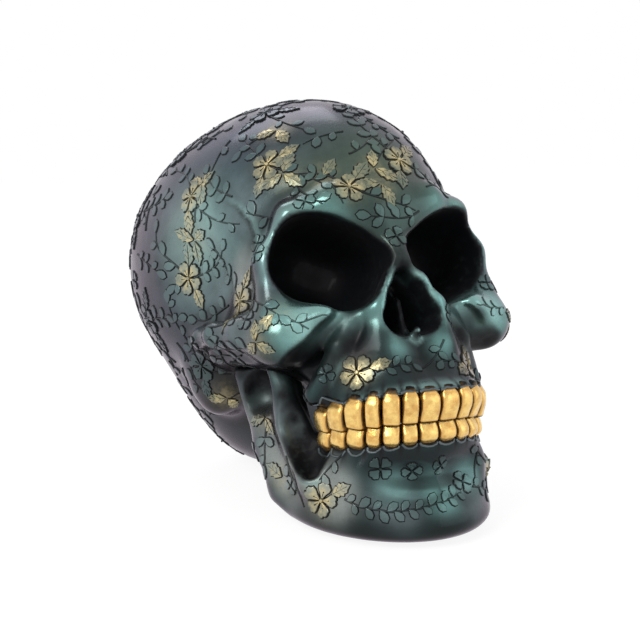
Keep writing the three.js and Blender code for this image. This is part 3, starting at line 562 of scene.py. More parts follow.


# Colours, painted on as soft clouds, each on both sides of the head: place, reach and paint.
# Slate, sage, umber and teal are the paint's own tones, and violet is its grey-violet, which on the sides
# also stands as a painted reflection. The turquoise, highlight, mist and palest clouds are painted highlights
# and painted reflections; the deep clouds are the dark green of the gums and the jaw's foot, and painted
# shade on the crown and the face.

CLOUDS = (
    ((12, -60, 141), 26, "sage"),
    ((34, -14, 158), 36, "slate"),
    ((22, -18, 164), 14, "deep"),
    ((52, 22, 146), 26, "slate"),
    ((57, -7, 114), 21, "turquoise"),
    ((59, -5, 115), 12, "highlight"),
    ((60, -1, 117), 13, "painted_reflection"),
    ((63, 20, 124), 13, "mist"),
    ((57, -6, 94), 14, "mist"),
    ((50, -27, 125), 11, "mist"),
    ((68, 32, 104), 24, "violet"),
    ((58, 23, 62), 24, "slate"),
    ((44, 84, 84), 40, "slate"),
    ((0, 104, 116), 34, "turquoise"),
    ((0, 40, 172), 46, "slate"),
    ((46, 0, 42), 20, "umber"),
    ((0, 70, 30), 34, "violet"),
    ((9, -68, 129), 11, "teal"),
    ((28, -66, 128), 8, "turquoise"),
    ((51, -55, 110), 13, "slate"),
    ((51.5, -41, 105), 7, "painted_reflection"),
    ((53, -45, 93), 9, "painted_reflection"),
    ((42, -76, 88), 10, "turquoise"),
    ((42, -76, 87), 6, "highlight"),
    ((34, -75, 87), 7, "highlight"),
    ((63, -49, 78), 11, "mist"),
    ((26, -80, 78), 9, "deep"),
    ((32, -76, 89), 8, "turquoise"),
    ((12, -78, 92), 8, "turquoise"),
    ((7, -94, 75), 9, "deep"),
    ((9, -93, 77), 4, "turquoise"),
    ((18, -98, 63), 9, "teal"),
    ((0, -104, 61), 9, "deep"),
    ((12, -99, 33), 14, "teal"),
    ((18, -104, 18), 7, "mist"),
    ((0, -108, 21), 6, "turquoise"),
    ((17, -102, 22), 5, "turquoise"),
    ((43, -68, 22), 11, "painted_reflection"),
    ((43, -50, 31), 8, "painted_reflection"),
    ((36, -84, 19), 8, "painted_reflection"),
    ((40, -31, 43), 16, "slate"),
    ((40, -31, 43), 8, "painted_reflection"),
    ((44, -54, 41), 8, "mist"),
    ((0, -108, 6), 9, "deep"),
    ((24, -100, 5), 9, "deep"),
    ((42, -76, 4), 10, "deep"),
)
GROUND_SHARE = 0.2
CLOUD_SCALE = 20.0
# Painted light on the ground coat: where it is painted as coming from, how dark the faces turned from it get,
# painted highlights along ridges and painted shade in nooks
PAINTED_LIGHT_SIDE = (0.0, -0.35, 0.94)
PAINTED_LIGHT_RANGE = (-0.7, 0.3)
SHADED_SHARE = 0.42
RIDGE_HIGHLIGHT_SHARE = 0.8
RIDGE_HIGHLIGHT_RANGE = (-0.1, 0.75)
NOOK_SHADE = 0.6
NOOK_SHADE_RANGE = (0.03, 0.4)


def coat_with_painted_light(points, normals, ridge, nook, paint):
    """The ground coat with its painted light: small clouds over wide ones, painted shade underneath and in
    nooks, and painted highlights along ridges.
    """
    total = np.full(len(points), GROUND_SHARE)
    colour = np.outer(total, np.array(paint.teal[:3]))
    for (x, y, z), reach, name in CLOUDS:
        for side in (-x, x) if x else (x,):
            far = ((points - np.array((side, y, z))) ** 2).sum(1)
            w = CLOUD_SCALE / reach * np.exp(-far / reach ** 2)
            colour += w[:, None] * np.array(getattr(paint, name)[:3])
            total += w
    colour /= total[:, None]
    # Painted light from above and in front: faces turned away from it are painted darker
    above = normals @ np.array(PAINTED_LIGHT_SIDE)
    lit = smooth_step(above, *PAINTED_LIGHT_RANGE)[:, None]
    colour *= SHADED_SHARE + (1 - SHADED_SHARE) * lit
    # Painted shade in nooks
    colour *= 1 - NOOK_SHADE * smooth_step(nook, *NOOK_SHADE_RANGE)[:, None]
    # Painted highlight along ridges that face up and forward
    light = (RIDGE_HIGHLIGHT_SHARE * ridge * smooth_step(above, *RIDGE_HIGHLIGHT_RANGE))[:, None]
    return colour * (1 - light) + light * np.array(paint.highlight[:3])


# Painted shadow and its gaps: place, reach and strength of spots where painted shadow is added or where black
# and painted shade are cleared before the relief is laid out, of spots where painted shade is cleared or
# deepened after it, and the painted shadow line along the temple with a painted highlight line beside it

SHADOW_SPOTS_BEFORE = (((0, -74, 109), 6.0, 0.95), ((25, -80, 77), 6.5, 0.9), ((33, -76, 72), 6.0, 0.8))
CLEARED_SPOTS_BEFORE = (((31, -76, 89), 8.5, 0.95), ((44, -54, 42), 7.0, 0.9), ((40, -31, 42), 5.0, 0.8))
CLEARED_SPOTS_AFTER = (((39.6, -31, 43), 7.0, 0.9), ((40, -75, 81), 6.0, 0.85))
SHADOW_SPOTS_AFTER = (
    ((0.5, -77, 107), 5.5, 1.0),
    ((25, -80, 77), 8.0, 1.0),
    ((41, -53, 54), 6.0, 0.95),
    ((38, -56, 44), 5.5, 0.95),
)
TEMPLE_SHADOW_LINE = (
    (53.3, -17.5, 130.7), (50.3, -27, 128.2), (47.9, -34.6, 122.5), (47.3, -38, 117), (48.5, -43, 109),
)
TEMPLE_HIGHLIGHT_SHIFT = (-0.5, -2.2, 0.6)
LINE_SHADOW = 0.75
LINE_REACH = 0.9
HIGHLIGHT_LINE_REACH = 1.5
LINE_FADE = 1.5


def spot_share(points, spots):
    """The strongest of several soft spots at each point."""
    share = np.zeros(len(points))
    for place, reach, strength in spots:
        far = ((points - np.array(place)) ** 2).sum(1)
        share = np.maximum(share, strength * np.exp(-far / reach ** 2))
    return share


def line_share(points, line, reach):
    """How much of a soft line falls on each point; it fades in from its first end."""
    share = np.zeros(len(points))
    line = np.array(line, float)
    for i in range(len(line) - 1):
        a = line[i]
        way = line[i + 1] - a
        t = np.clip((points - a) @ way / (way @ way), 0, 1)
        far = ((points - a - t[:, None] * way) ** 2).sum(1)
        share = np.maximum(share, np.exp(-far / reach ** 2) * np.minimum(1, (i + t) / LINE_FADE))
    return share


# Meshes

def put_values(mesh, name, values, kind="FLOAT"):
    """Writes one attribute on the points of a mesh."""
    layer = mesh.attributes.get(name) or mesh.attributes.new(name, kind, "POINT")
    key = {"FLOAT": "value", "INT": "value", "FLOAT_VECTOR": "vector", "FLOAT_COLOR": "color"}[kind]
    flat = np.asarray(values)
    if kind == "FLOAT_COLOR":
        flat = np.concatenate([flat, np.ones((len(flat), 1))], 1)
    dtype = np.int32 if kind == "INT" else np.float32
    layer.data.foreach_set(key, np.ascontiguousarray(flat, dtype).ravel())


def mesh_from(name, points_mm, faces, smooth=True):
    mesh = bpy.data.meshes.new(name)
    mesh.from_pydata((np.asarray(points_mm) * MM).tolist(), [], [list(map(int, f)) for f in faces])
    mesh.polygons.foreach_set("use_smooth", np.full(len(mesh.polygons), smooth))
    mesh.update()
    return mesh


def add_piece(name, mesh, nodes=(), material=None):
    """Puts a finished mesh in the scene as a piece that rides on the part."""
    piece = bpy.data.objects.new(name, mesh)
    bpy.context.scene.collection.objects.link(piece)
    if material is not None:
        mesh.materials.clear()
        mesh.materials.append(material)
    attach(piece, "root")
    if nodes:
        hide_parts(*nodes)
    return piece


CUT_RANGE = (1.2, 5.0)
OPENING_RANGE = (0.35, 1.3)
CHEEK_RANGE = (0.6, 3.2)
# Black wash with painted shade in creases and nooks
CREASE_REACH = 3.0
CREASE_RANGE = (0.25, 0.9)
CREASE_WASH_AND_SHADE = 0.9
NOOK_REACH = 10.0
NOOK_RANGE = (0.35, 0.95)
NOOK_WASH_AND_SHADE = 0.75
LEAST_RATE = 0.3
# Painted highlights along broad and sharp ridges
BROAD_DEPTH = 5.0
BROAD_RANGE = (0.25, 0.8)
BROAD_HIGHLIGHT_SHARE = 0.35
SHARP_DEPTH = 2.5
SHARP_RANGE = (0.15, 0.6)
SHARP_HIGHLIGHT_SHARE = 0.65


def crowding(points, normals, reach):
    """How much the castings fill the space in front of each point."""
    lifted = points + reach * normals
    return np.clip(1 - whole_field(*lifted.T) / reach, 0, 1)


def sharpness(points, normals, depth):
    """How sharply the form falls away round each point."""
    rate = np.maximum(-whole_field(*(points - normals).T), LEAST_RATE)
    return 1 + whole_field(*(points - depth * normals).T) / (depth * rate)


def cast_skin(name, field, pair, room, step, paint, bare_of):
    """Faces a casting, paints it and keeps its surface for the relief."""
    points, quads = largest_sheet(*net_half(field, *room, step))
    points, normals = settle(field, points, step)
    _, uncut, opening, cheek = pair(*points.T)
    crease = crowding(points, normals, CREASE_REACH)
    nook = crowding(points, normals, NOOK_REACH)
    # Black paint of the cut hollows, the eye sockets, the nose opening and the cheek hollow, and black wash
    # with painted shade in creases and nooks
    soot = np.maximum.reduce([
        smooth_step(-uncut, *CUT_RANGE),
        1 - smooth_step(opening, *OPENING_RANGE),
        1 - smooth_step(cheek, *CHEEK_RANGE),
        CREASE_WASH_AND_SHADE * smooth_step(crease, *CREASE_RANGE),
        NOOK_WASH_AND_SHADE * smooth_step(nook, *NOOK_RANGE),
    ])
    # Spots where the black and the painted shade are cleared before the relief is laid out
    clear = 1 - spot_share(points, CLEARED_SPOTS_BEFORE)
    soot *= clear
    nook *= clear
    # Painted shadow spots, the painted shadow line along the temple, and the dark groove and painted flute
    # shade round the teeth
    soot = np.maximum.reduce([
        soot,
        spot_share(points, SHADOW_SPOTS_BEFORE),
        LINE_SHADOW * line_share(points, TEMPLE_SHADOW_LINE, LINE_REACH),
        gum_shadow(points),
    ])
    # Painted highlights along ridges and along the temple beside its painted shadow
    ridge = BROAD_HIGHLIGHT_SHARE * smooth_step(sharpness(points, normals, BROAD_DEPTH), *BROAD_RANGE)
    ridge = ridge + SHARP_HIGHLIGHT_SHARE * smooth_step(sharpness(points, normals, SHARP_DEPTH), *SHARP_RANGE)
    light = line_share(points, np.array(TEMPLE_SHADOW_LINE) + np.array(TEMPLE_HIGHLIGHT_SHIFT), HIGHLIGHT_LINE_REACH)
    ridge = np.maximum(ridge, light)
    bare = bare_of(points, soot)
    # Spots where painted shade is cleared or deepened after the relief is laid out
    clear = 1 - spot_share(points, CLEARED_SPOTS_AFTER)
    soot = np.maximum(soot * clear, spot_share(points, SHADOW_SPOTS_AFTER))
    nook *= clear
    points, normals, quads, source = mirrored(points, normals, quads)
    mesh = mesh_from(name, points, quads)
    coat = coat_with_painted_light(points, normals, ridge[source], nook[source], paint)
    put_values(mesh, "soot", soot[source])
    put_values(mesh, "airbrush", coat, "FLOAT_COLOR")
    put_values(mesh, "skin_normal", normals, "FLOAT_VECTOR")
    workshop[name] = Surface(points, normals, quads, bare[source])
    return mesh


DARKENED_RANGE = (0.2, 0.5)
RIM_RANGE = (2.0, 4.0)


def cranium_bare(points, soot):
    """Where the cranium carries no relief: hollows, rims, gums and the underside."""
    x, y, z = points.T
    rim = 1 - smooth_step(cranium_pair(x, y, z)[2], *RIM_RANGE)
    bridge = (x < 9) & (y < -72) & (z > 92) & (z < 122)
    under = (z < 46) & (y < 36) & (x < 36)
    low = z < 6
    darkened = smooth_step(soot, *DARKENED_RANGE)
    return np.maximum.reduce([darkened, rim, bridge * 1.0, under * 1.0, low * 1.0])


def jaw_bare(points, soot):
    """Where the jaw carries no relief: hollows, gums, the inside and the band at its foot."""
    x, y, z = points.T
    inside = (x < 30) & (y > -78)
    foot = z < 11
    high = z > 47
    darkened = smooth_step(soot, *DARKENED_RANGE)
    return np.maximum.reduce([darkened, inside * 1.0, foot * 1.0, high * 1.0])


# Teeth

TOOTH_SIDES = 24
TOOTH_RINGS = 14
TOOTH_POWER = 4.2
NECK_START = 0.58
NECK_SPAN = 0.50
NECK_POWER = 2.6
NECK_LEAST = 0.46
BITE_SPAN = 0.30
LIP_SHARE = 0.10
LIP_SPAN = 0.08
DEPTH_SPAN = 0.55
ROOT_RANGE = (0.72, 1.08)
ROOT_THINNING = 0.5
ROOT_END = 1.12
FACE_SWELL = 0.35
BITE_RISE = {"incisor": 0.1, "canine": 0.25, "premolar": 0.1, "molar": 0.1}
# Painted shade at the sides, neck and bite of each tooth, as shares of its width and crown
SIDE_SHADE = (0.50, 1.02)
NECK_SHADE = (0.62, 1.04)
BITE_SHADE = (-0.11, -0.02)


def tooth_rings(form, width, crown):
    """Rings of a crown with a rounded arch at its neck, from the bite to the root."""
    share = np.concatenate([np.linspace(0, 0.10, 4), np.linspace(0.2, 1.0, TOOTH_RINGS - 5), [ROOT_END]])
    arch = (1 - np.clip((share - NECK_START) / NECK_SPAN, 0, 1) ** NECK_POWER) ** (1 / NECK_POWER)
    arch = np.maximum(arch, NECK_LEAST)
    bite = 1 - (1 - BITE_WIDTH[form]) * (1 - smooth_step(share, 0, BITE_SPAN))
    lip = 1 - LIP_SHARE * np.clip(1 - share / LIP_SPAN, 0, 1) ** 2
    depth = BITE_DEPTH[form] + (1 - BITE_DEPTH[form]) * smooth_step(share, 0, DEPTH_SPAN)
    depth *= 1 - ROOT_THINNING * smooth_step(share, *ROOT_RANGE)
    angle = np.arange(TOOTH_SIDES) / TOOTH_SIDES * 2 * math.pi
    c = np.cos(angle)
    s = np.sin(angle)
    cx = np.sign(c) * np.abs(c) ** (2 / TOOTH_POWER)
    sy = np.sign(s) * np.abs(s) ** (2 / TOOTH_POWER)
    rings = []
    for t, w, d in zip(share, arch * bite * lip, depth * lip):
        front = -FACE_SWELL * math.sin(math.pi * min(t, 1))
        x = cx * w * width / 2
        y = sy * d * TOOTH_DEPTH / 2 + front * (sy < 0)
        rings.append(np.stack([x, y, np.full(TOOTH_SIDES, t * crown)], 1))
    return np.array(rings)


def tooth_mesh(form, width, crown):
    """Points, faces and painted shade of one tooth, with its bite at zero."""
    rings = tooth_rings(form, width, crown)
    count = len(rings)
    points = rings.reshape(-1, 3).tolist()
    faces = []
    for r in range(count - 1):
        for i in range(TOOTH_SIDES):
            j = (i + 1) % TOOTH_SIDES
            a = r * TOOTH_SIDES
            b = a + TOOTH_SIDES
            faces.append((a + i, a + j, b + j, b + i))
    points.append([0, 0, -BITE_RISE[form]])
    points.append([0, 0, rings[-1][0][2] + 0.2])
    last = (count - 1) * TOOTH_SIDES
    for i in range(TOOTH_SIDES):
        j = (i + 1) % TOOTH_SIDES
        faces.append((len(points) - 2, j, i))
        faces.append((len(points) - 1, last + i, last + j))
    points = np.array(points)
    # Painted shade: darker at the sides between teeth, at the neck under the gum and along the bite
    side = np.abs(points[:, 0]) / (width / 2)
    dark = smooth_step(side, *SIDE_SHADE)
    dark = np.maximum(dark, smooth_step(points[:, 2] / crown, *NECK_SHADE))
    dark = np.maximum(dark, smooth_step(-points[:, 2] / crown, *BITE_SHADE))
    return points, faces, dark


# Relief: flat motifs whose height and dark edges are kept as values, and stems

SKIRT = 0.4
SKIRT_LIFT = -0.05
FOOT_LIFT = 0.08
BEVEL = 0.22
BEVEL_LIFT = 0.08
BEVEL_DARK = 0.6


def plate(outline, height, lean, dome):
    """A raised leaf or petal: a dark skirt and wall, a narrow bevel and a softly domed top."""
    outline = np.array(outline, float)
    n = len(outline)
    ahead = np.roll(outline, -1, 0) - np.roll(outline, 1, 0)
    inward = np.stack([-ahead[:, 1], ahead[:, 0]], 1)
    inward /= np.linalg.norm(inward, axis=1)[:, None] + 1e-9
    middle = outline.mean(0)
    offsets = (-(lean + SKIRT), -lean, 0.0, BEVEL)
    points = np.concatenate([outline + inward * v for v in offsets] + [middle[None]])
    level = (SKIRT_LIFT, FOOT_LIFT, height, height + BEVEL_LIFT)
    lift = np.concatenate([np.full(n, v) for v in level] + [[height + dome]])
    edge = np.concatenate([np.full(2 * n, 1.0), np.full(n, BEVEL_DARK), np.zeros(n + 1)])
    faces = []
    for r in range(3):
        for i in range(n):
            j = (i + 1) % n
            faces.append((r * n + i, r * n + j, r * n + n + j, r * n + n + i))
    for i in range(n):
        faces.append((3 * n + i, 3 * n + (i + 1) % n, 4 * n))
    return points, lift, edge, faces


def incised(start, end, top, width=0.16):
    """A thin dark line that stands a hair above a plate."""
    start = np.array(start, float)
    end = np.array(end, float)
    way = (end - start) / np.linalg.norm(end - start)
    side = np.array([-way[1], way[0]]) * width
    points = np.array([start - side, start + side, end + side, end - side, start, end])
    lift = np.array([top - 0.1] * 4 + [top + 0.16] * 2)
    faces = [(0, 3, 5, 4), (2, 1, 4, 5), (1, 0, 4), (3, 2, 5), (0, 1, 2, 3)]
    return points, lift, np.ones(6), faces


def bead(place, radius, low, high, dark):
    """A small six-sided dome."""
    angle = np.arange(6) / 6 * 2 * math.pi
    ring = np.array(place) + radius * np.stack([np.cos(angle), np.sin(angle)], 1)
    points = np.concatenate([ring, ring * 0.5 + np.array(place) * 0.5, [place]])
    lift = np.array([low] * 6 + [high - 0.1] * 6 + [high])
    edge = np.array([1.0] * 6 + [dark] * 7)
    faces = [(i, (i + 1) % 6, 6 + (i + 1) % 6, 6 + i) for i in range(6)]
    faces += [(6 + i, 6 + (i + 1) % 6, 12) for i in range(6)]
    return points, lift, edge, faces


def turned(outline, angle, away=0.0):
    c = math.cos(angle)
    s = math.sin(angle)
    p = np.array(outline, float) + np.array([away, 0])
    return np.stack([c * p[:, 0] - s * p[:, 1], s * p[:, 0] + c * p[:, 1]], 1)


def leaf_outline(half, length, width):
    """A leaf from its upper half outline, given as shares."""
    upper = [(x * length, y * width / 2) for x, y in half]
    lower = [(x, -y) for x, y in upper if y > 1e-6]
    return lower + upper[::-1] if upper[0][1] > 1e-6 else upper[:1] + lower + upper[:0:-1]


# Half outlines, as shares, and the length and width of each leaf and petal
PETAL_HALF = (
    (0.02, 0.12), (0.28, 0.44), (0.55, 0.90), (0.76, 1.0),
    (0.84, 0.76), (0.97, 0.58), (1.0, 0.28), (0.93, 0.0),
)
TOOTHED_HALF = (
    (0.0, 0.06), (0.12, 0.40), (0.28, 0.82), (0.36, 0.66), (0.52, 0.98),
    (0.58, 0.70), (0.72, 0.74), (0.77, 0.46), (1.0, 0.0),
)
ROUND_HALF = ((0.0, 0.06), (0.20, 0.58), (0.48, 0.98), (0.78, 0.82), (1.0, 0.0))
NARROW_HALF = ((0.0, 0.06), (0.28, 0.74), (0.55, 0.96), (1.0, 0.0))
PETAL_SIZE = (6.4, 5.5)
TOOTHED_SIZE = (12.6, 7.2)
ROUND_SIZE = (5.8, 3.6)
NARROW_SIZE = (8.0, 3.2)
POSY_PETAL_SIZE = (4.0, 4.2)
LEAF_HEIGHT = 0.7
SMALL_LEAF_HEIGHT = 0.6
VEIN_WIDTH = 0.11
VEINS = (
    ((3.0, 0.1), (5.4, 2.1)), ((3.0, -0.1), (5.4, -2.1)),
    ((6.0, 0.1), (8.2, 1.8)), ((6.0, -0.1), (8.2, -1.8)),
)


def motif_shapes(height, lean):
    """The plain flower and leaf motifs, each as a list of pieces."""
    shapes = {}
    petal = leaf_outline(PETAL_HALF, *PETAL_SIZE)
    fifth = 2 * math.pi / 5
    blossom = [plate(turned(petal, fifth * i, 0.9), height, lean, 0.06) for i in range(5)]
    blossom += [incised(*turned([(1.6, 0), (3.4, 0)], fifth * i), height + 0.1) for i in range(5)]
    blossom += [bead(turned([(3.6, 0)], fifth * i)[0], 0.36, height, height + 0.45, 0.9) for i in range(5)]
    blossom.append(bead((0, 0), 1.5, -0.2, height + 0.7, 0.15))
    shapes["a_blossom"] = blossom
    leaf = leaf_outline(TOOTHED_HALF, *TOOTHED_SIZE)
    low = LEAF_HEIGHT * height
    toothed = [plate(leaf, low, lean, 0.2), incised((0.6, 0), (10.4, 0), low + 0.15)]
    toothed += [incised(start, end, low + 0.1, VEIN_WIDTH) for start, end in VEINS]
    shapes["b_toothed_leaf"] = toothed
    lower = SMALL_LEAF_HEIGHT * height
    shapes["c_round_leaf"] = [plate(leaf_outline(ROUND_HALF, *ROUND_SIZE), lower, lean, 0.1)]
    shapes["d_narrow_leaf"] = [
        plate(leaf_outline(NARROW_HALF, *NARROW_SIZE), lower, lean, 0.12),
        incised((0.5, 0), (6.6, 0), lower + 0.1, VEIN_WIDTH),
    ]
    small = leaf_outline(PETAL_HALF, *POSY_PETAL_SIZE)
    quarter = math.pi / 2
    posy = [plate(turned(small, quarter * i, 0.6), low, lean, 0.1) for i in range(4)]
    posy.append(bead((0, 0), 1.0, -0.2, height + 0.5, 0.5))
    shapes["e_posy"] = posy
    return shapes


# The motifs in the order of their names, with the reach and radius of each one's footprint
BLOSSOM, TOOTHED, ROUND, NARROW, POSY = range(5)
FOOTPRINT = ((0.0, 6.6), (6.2, 4.6), (2.9, 2.0), (4.3, 2.2), (0.0, 4.0))
# How far gold reaches over leaves, and over blossoms
GOLD_FADE = (14.0, 7.6)
GOLD_LEAST = 0.15
GOLD_FULL = 1.2


def motif_collection(relief):
    """Hidden flat meshes of the motifs, for the draping to copy."""
    collection = bpy.data.collections.new("skull_motifs")
    for name, pieces in motif_shapes(relief.plate_height / MM, relief.wall_lean / MM).items():
        points = []
        lift = []
        edge = []
        faces = []
        for p, l, e, f in pieces:
            base = sum(len(q) for q in points)
            points.append(np.concatenate([p, np.zeros((len(p), 1))], 1))
            lift.append(l)
            edge.append(e)
            faces += [tuple(base + v for v in face) for face in f]
        mesh = mesh_from(name, np.concatenate(points), faces, smooth=False)
        put_values(mesh, "lift", np.concatenate(lift) * MM)
        edge = np.concatenate(edge)
        far = np.linalg.norm(np.concatenate(points), axis=1)
        put_values(mesh, "edge", edge)
        # Raised tops, which take a painted highlight in the finish
        put_values(mesh, "raised", 1 - edge)
        put_values(mesh, "bloom", np.clip(GOLD_FULL - far / GOLD_FADE[name == "a_blossom"], GOLD_LEAST, 1))
        collection.objects.link(bpy.data.objects.new(name, mesh))
    return collection


# Main blossoms of the cranium: a spot near the skin and the turn of the first petal in degrees
BLOSSOMS = (
    (-58, 2, 131, 33), (-58, 5, 96, 63), (-54, -40, 91, 43), (-38, -32, 145, 39), (-16, -61, 137, 54),
    (12, -52, 147, 61), (-26, -86, 67, 16), (26, -86, 67, 15), (5, -21, 168, 29), (-29, 100, 115, 39),
    (50, -7, 143, 52), (-54, 77, 74, 22), (-63, 56, 120, 39), (-25, -2, 166, 6), (12, 100, 128, 31),
    (42, -41, 129, 59), (57, 0, 91, 44), (59, 36, 133, 64), (-54, 2, 58, 19), (8, 102, 56, 25),
    (67, 34, 81, 10), (-39, 75, 139, 62), (23, 21, 166, 6), (37, 66, 147, 14), (40, 98, 86, 27),
    (-17, 36, 166, 20), (-7, 112, 91, 43), (2, 68, 157, 54), (-65, 39, 74, 28), (56, 77, 112, 45),
    (-47, 41, 148, 52), (53, -33, 96, 57),
)
GILDED = (0, 1, 2, 3, 4, 5, 6, 7, 9, 11, 14, 16, 17, 19, 21, 23, 24, 26, 29, 31)
GOLD_LEAVES = (
    (-54, -2, 137), (-58, -1, 113), (-35, -40, 142), (-29, -22, 159), (-23, -52, 141), (-2, -56, 144),
    (-2, -62, 138), (-59, -65, 78), (-52, -68, 89), (-45, -4, 44), (57, -65, 79), (60, 0, 112),
    (46, 2, 44), (-30, 96, 130),
)
JAW_BLOSSOMS = ((-38, -80, 16, 20), (40, -78, 17, 50))
JAW_GILDED = (0, 1)
JAW_LEAVES = ((-43, -39, 42), (-43, -55, 20), (43, -40, 40))
# Stems that are laid through listed places, from place to place
GARLANDS = (
    ((-51, -71, 85), (-43, -76, 87), (-34, -77, 89)),
    ((51, -71, 85), (43, -76, 87), (34, -77, 89)),
    ((-19, -90, 67), (-12, -94, 70), (-3, -95, 71)),
    ((19, -90, 67), (12, -94, 70), (5, -95, 71)),
)
JAW_GARLANDS = (
    ((-32, -89, 18), (-29, -95, 16), (-20, -104, 15), (-10, -108, 16), (1, -109, 18), (11, -105, 19.5)),
    ((18, -102, 20), (27, -96, 16), (35, -86, 18)),
)
DUST_REACH = 6.0
DUST_SHARE = 0.22
BARE_LIMIT = 0.5
STEM_STEP = 1.4
STEM_WANDER = 0.35
STEM_LEAST_POINTS = 8
STEM_ROOM = 0.5
LEAF_SLACK = 0.9
GARLAND_SLACK = 0.85
GARLAND_TILT = 0.9
FILL_PICKS = 6000
FILL_ROOM = 4.0
POSY_SHARE = 0.2
NARROW_SHARE = 0.4


class Garden:
    """Lays blossoms, leaves and stems out over one skin, each clear of the others."""

    def __init__(self, surface, seed):
        self.surface = surface
        self.random = np.random.default_rng(seed)
        self.centres = np.zeros((0, 3))
        self.radii = np.zeros(0)
        self.plates = []
        self.stems = []

    def free(self, centre, radius, slack=0.8):
        if len(self.radii) == 0:
            return True
        gap = np.linalg.norm(self.centres - centre, axis=1)
        return bool((gap > slack * (self.radii + radius)).all())

    def heading_at(self, normal, angle):
        """A direction along the skin at an angle from a fixed one."""
        guide = np.array([0.31, 0.52, 0.80])
        u = np.cross(normal, guide)
        u /= np.linalg.norm(u) + 1e-9
        return math.cos(angle) * u + math.sin(angle) * np.cross(normal, u)

    def turn(self, way, normal, angle):
        return math.cos(angle) * way + math.sin(angle) * np.cross(normal, way)

    def place(self, motif, base, way, size, slack=0.8, gold=0.0):
        """Puts one motif down, with its share of gold, if its footprint is free and allowed."""
        reach, radius = FOOTPRINT[motif]
        base, normal, bare = self.surface.drop(base)
        way = way - (way @ normal) * normal
        way /= np.linalg.norm(way) + 1e-9
        centre, _, centre_bare = self.surface.drop(base + way * reach * size)
        _, _, tip_bare = self.surface.drop(base + way * 1.8 * reach * size)
        if max(bare, centre_bare, tip_bare) > BARE_LIMIT or not self.free(centre, radius * size, slack):
            return False
        self.centres = np.vstack([self.centres, centre])
        self.radii = np.append(self.radii, radius * size)
        self.plates.append((base, normal, way, size, motif, gold))
        return True

    def walk(self, start, way, length, curl, swing):
        """A stem that wanders over the skin from a start."""
        spot, normal, _ = self.surface.drop(start)
        path = [spot]
        ways = [way]
        for i in range(int(length / STEM_STEP)):
            way = self.turn(way, normal, (curl + swing * math.sin(i * STEM_WANDER)) * STEM_STEP)
            spot, normal, bare = self.surface.drop(spot + way * STEM_STEP)
            way = way - (way @ normal) * normal
            way /= np.linalg.norm(way) + 1e-9
            if bare > BARE_LIMIT:
                break
            path.append(spot)
            ways.append(way)
        return np.array(path), np.array(ways)

    def sprig(self, start, way, length, leaf=ROUND, every=5, size=1.0):
        """A stem with leaves in turn on either side and one at its tip."""
        curl = self.random.uniform(-0.035, 0.035)
        path, ways = self.walk(start, way, length, curl, self.random.uniform(-0.05, 0.05))
        if len(path) < STEM_LEAST_POINTS:
            return
        middle = path[len(path) // 2]
        if not self.free(middle, STEM_ROOM, 1.0) and not self.free(path[-1], STEM_ROOM, 1.0):
            return
        self.stems.append(path)
        side = 1 if self.random.random() < 0.5 else -1
        for i in range(3, len(path) - 1, every):
            normal = self.surface.drop(path[i])[1]
            for s in (side, -side) if self.random.random() < 0.4 else (side,):
                aside = self.turn(ways[i], normal, s * self.random.uniform(0.7, 1.15))
                self.place(leaf, path[i], aside, size * self.random.uniform(0.8, 1.15), LEAF_SLACK)
            side = -side
        self.place(leaf, path[-1], ways[-1], size * 1.05, LEAF_SLACK)

    def garland(self, places):
        """A stem through given places, with leaves close along both sides."""
        knots = np.array(places, float)
        run = np.concatenate([[0], np.cumsum(np.linalg.norm(np.diff(knots, axis=0), axis=1))])
        path = []
        for s in np.arange(0, run[-1], STEM_STEP):
            path.append(self.surface.drop([np.interp(s, run, knots[:, k]) for k in range(3)])[0])
        self.stems.append(np.array(path))
        side = 1
        for i in range(1, len(path) - 1, 2):
            way = path[i + 1] - path[i - 1]
            way /= np.linalg.norm(way) + 1e-9
            normal = self.surface.drop(path[i])[1]
            aside = self.turn(way, normal, side * GARLAND_TILT)
            self.place(ROUND, path[i], aside, self.random.uniform(0.7, 1.0), GARLAND_SLACK)
            side = -side

    def spray(self, spot, normal, angle, turns, low, high):
        """Stems that leave a spot in several directions."""
        for turn in turns:
            way = self.heading_at(normal, angle + turn + self.random.uniform(-0.35, 0.35))
            self.sprig(spot + way * 5.0, way, self.random.uniform(low, high))

    def blossom(self, place, degrees, gold):
        """A blossom with two toothed leaves and a few stems."""
        spot, normal, _ = self.surface.drop(place)
        angle = math.radians(degrees)
        self.place(BLOSSOM, spot, self.heading_at(normal, angle), 1.0, 0.0, gold)
        for turn in (0.63, 3.14):
            way = self.heading_at(normal, angle + turn + self.random.uniform(-0.2, 0.2))
            size = self.random.uniform(0.72, 0.98)
            self.place(TOOTHED, spot + way * 5.6, way, size, 0.62, gold * self.random.uniform(0.3, 0.9))
        self.spray(spot, normal, angle, (1.9, 4.4), 18, 34)

    def leaf_pair(self, place):
        """Two or three gilded leaves with a stem."""
        spot, normal, _ = self.surface.drop(place)
        angle = self.random.uniform(0, 2 * math.pi)
        for turn in (0.0, 2.3, -2.0):
            way = self.heading_at(normal, angle + turn)
            size = self.random.uniform(0.7, 0.95)
            self.place(TOOTHED, spot + way * 0.8, way, size, 0.55, self.random.uniform(0.4, 0.9))
        self.spray(spot, normal, angle, (4.0,), 12, 22)

    def scatter(self, spacing, picks):
        """Spots all over the allowed skin, no two nearer than the spacing."""
        allowed = np.flatnonzero(self.surface.bare < 0.3)
        order = self.random.permutation(allowed)[:picks]
        kept = np.zeros((0, 3))
        for v in order:
            p = self.surface.points[v]
            if len(kept) == 0 or ((kept - p) ** 2).sum(1).min() > spacing ** 2:
                kept = np.vstack([kept, p])
        return kept

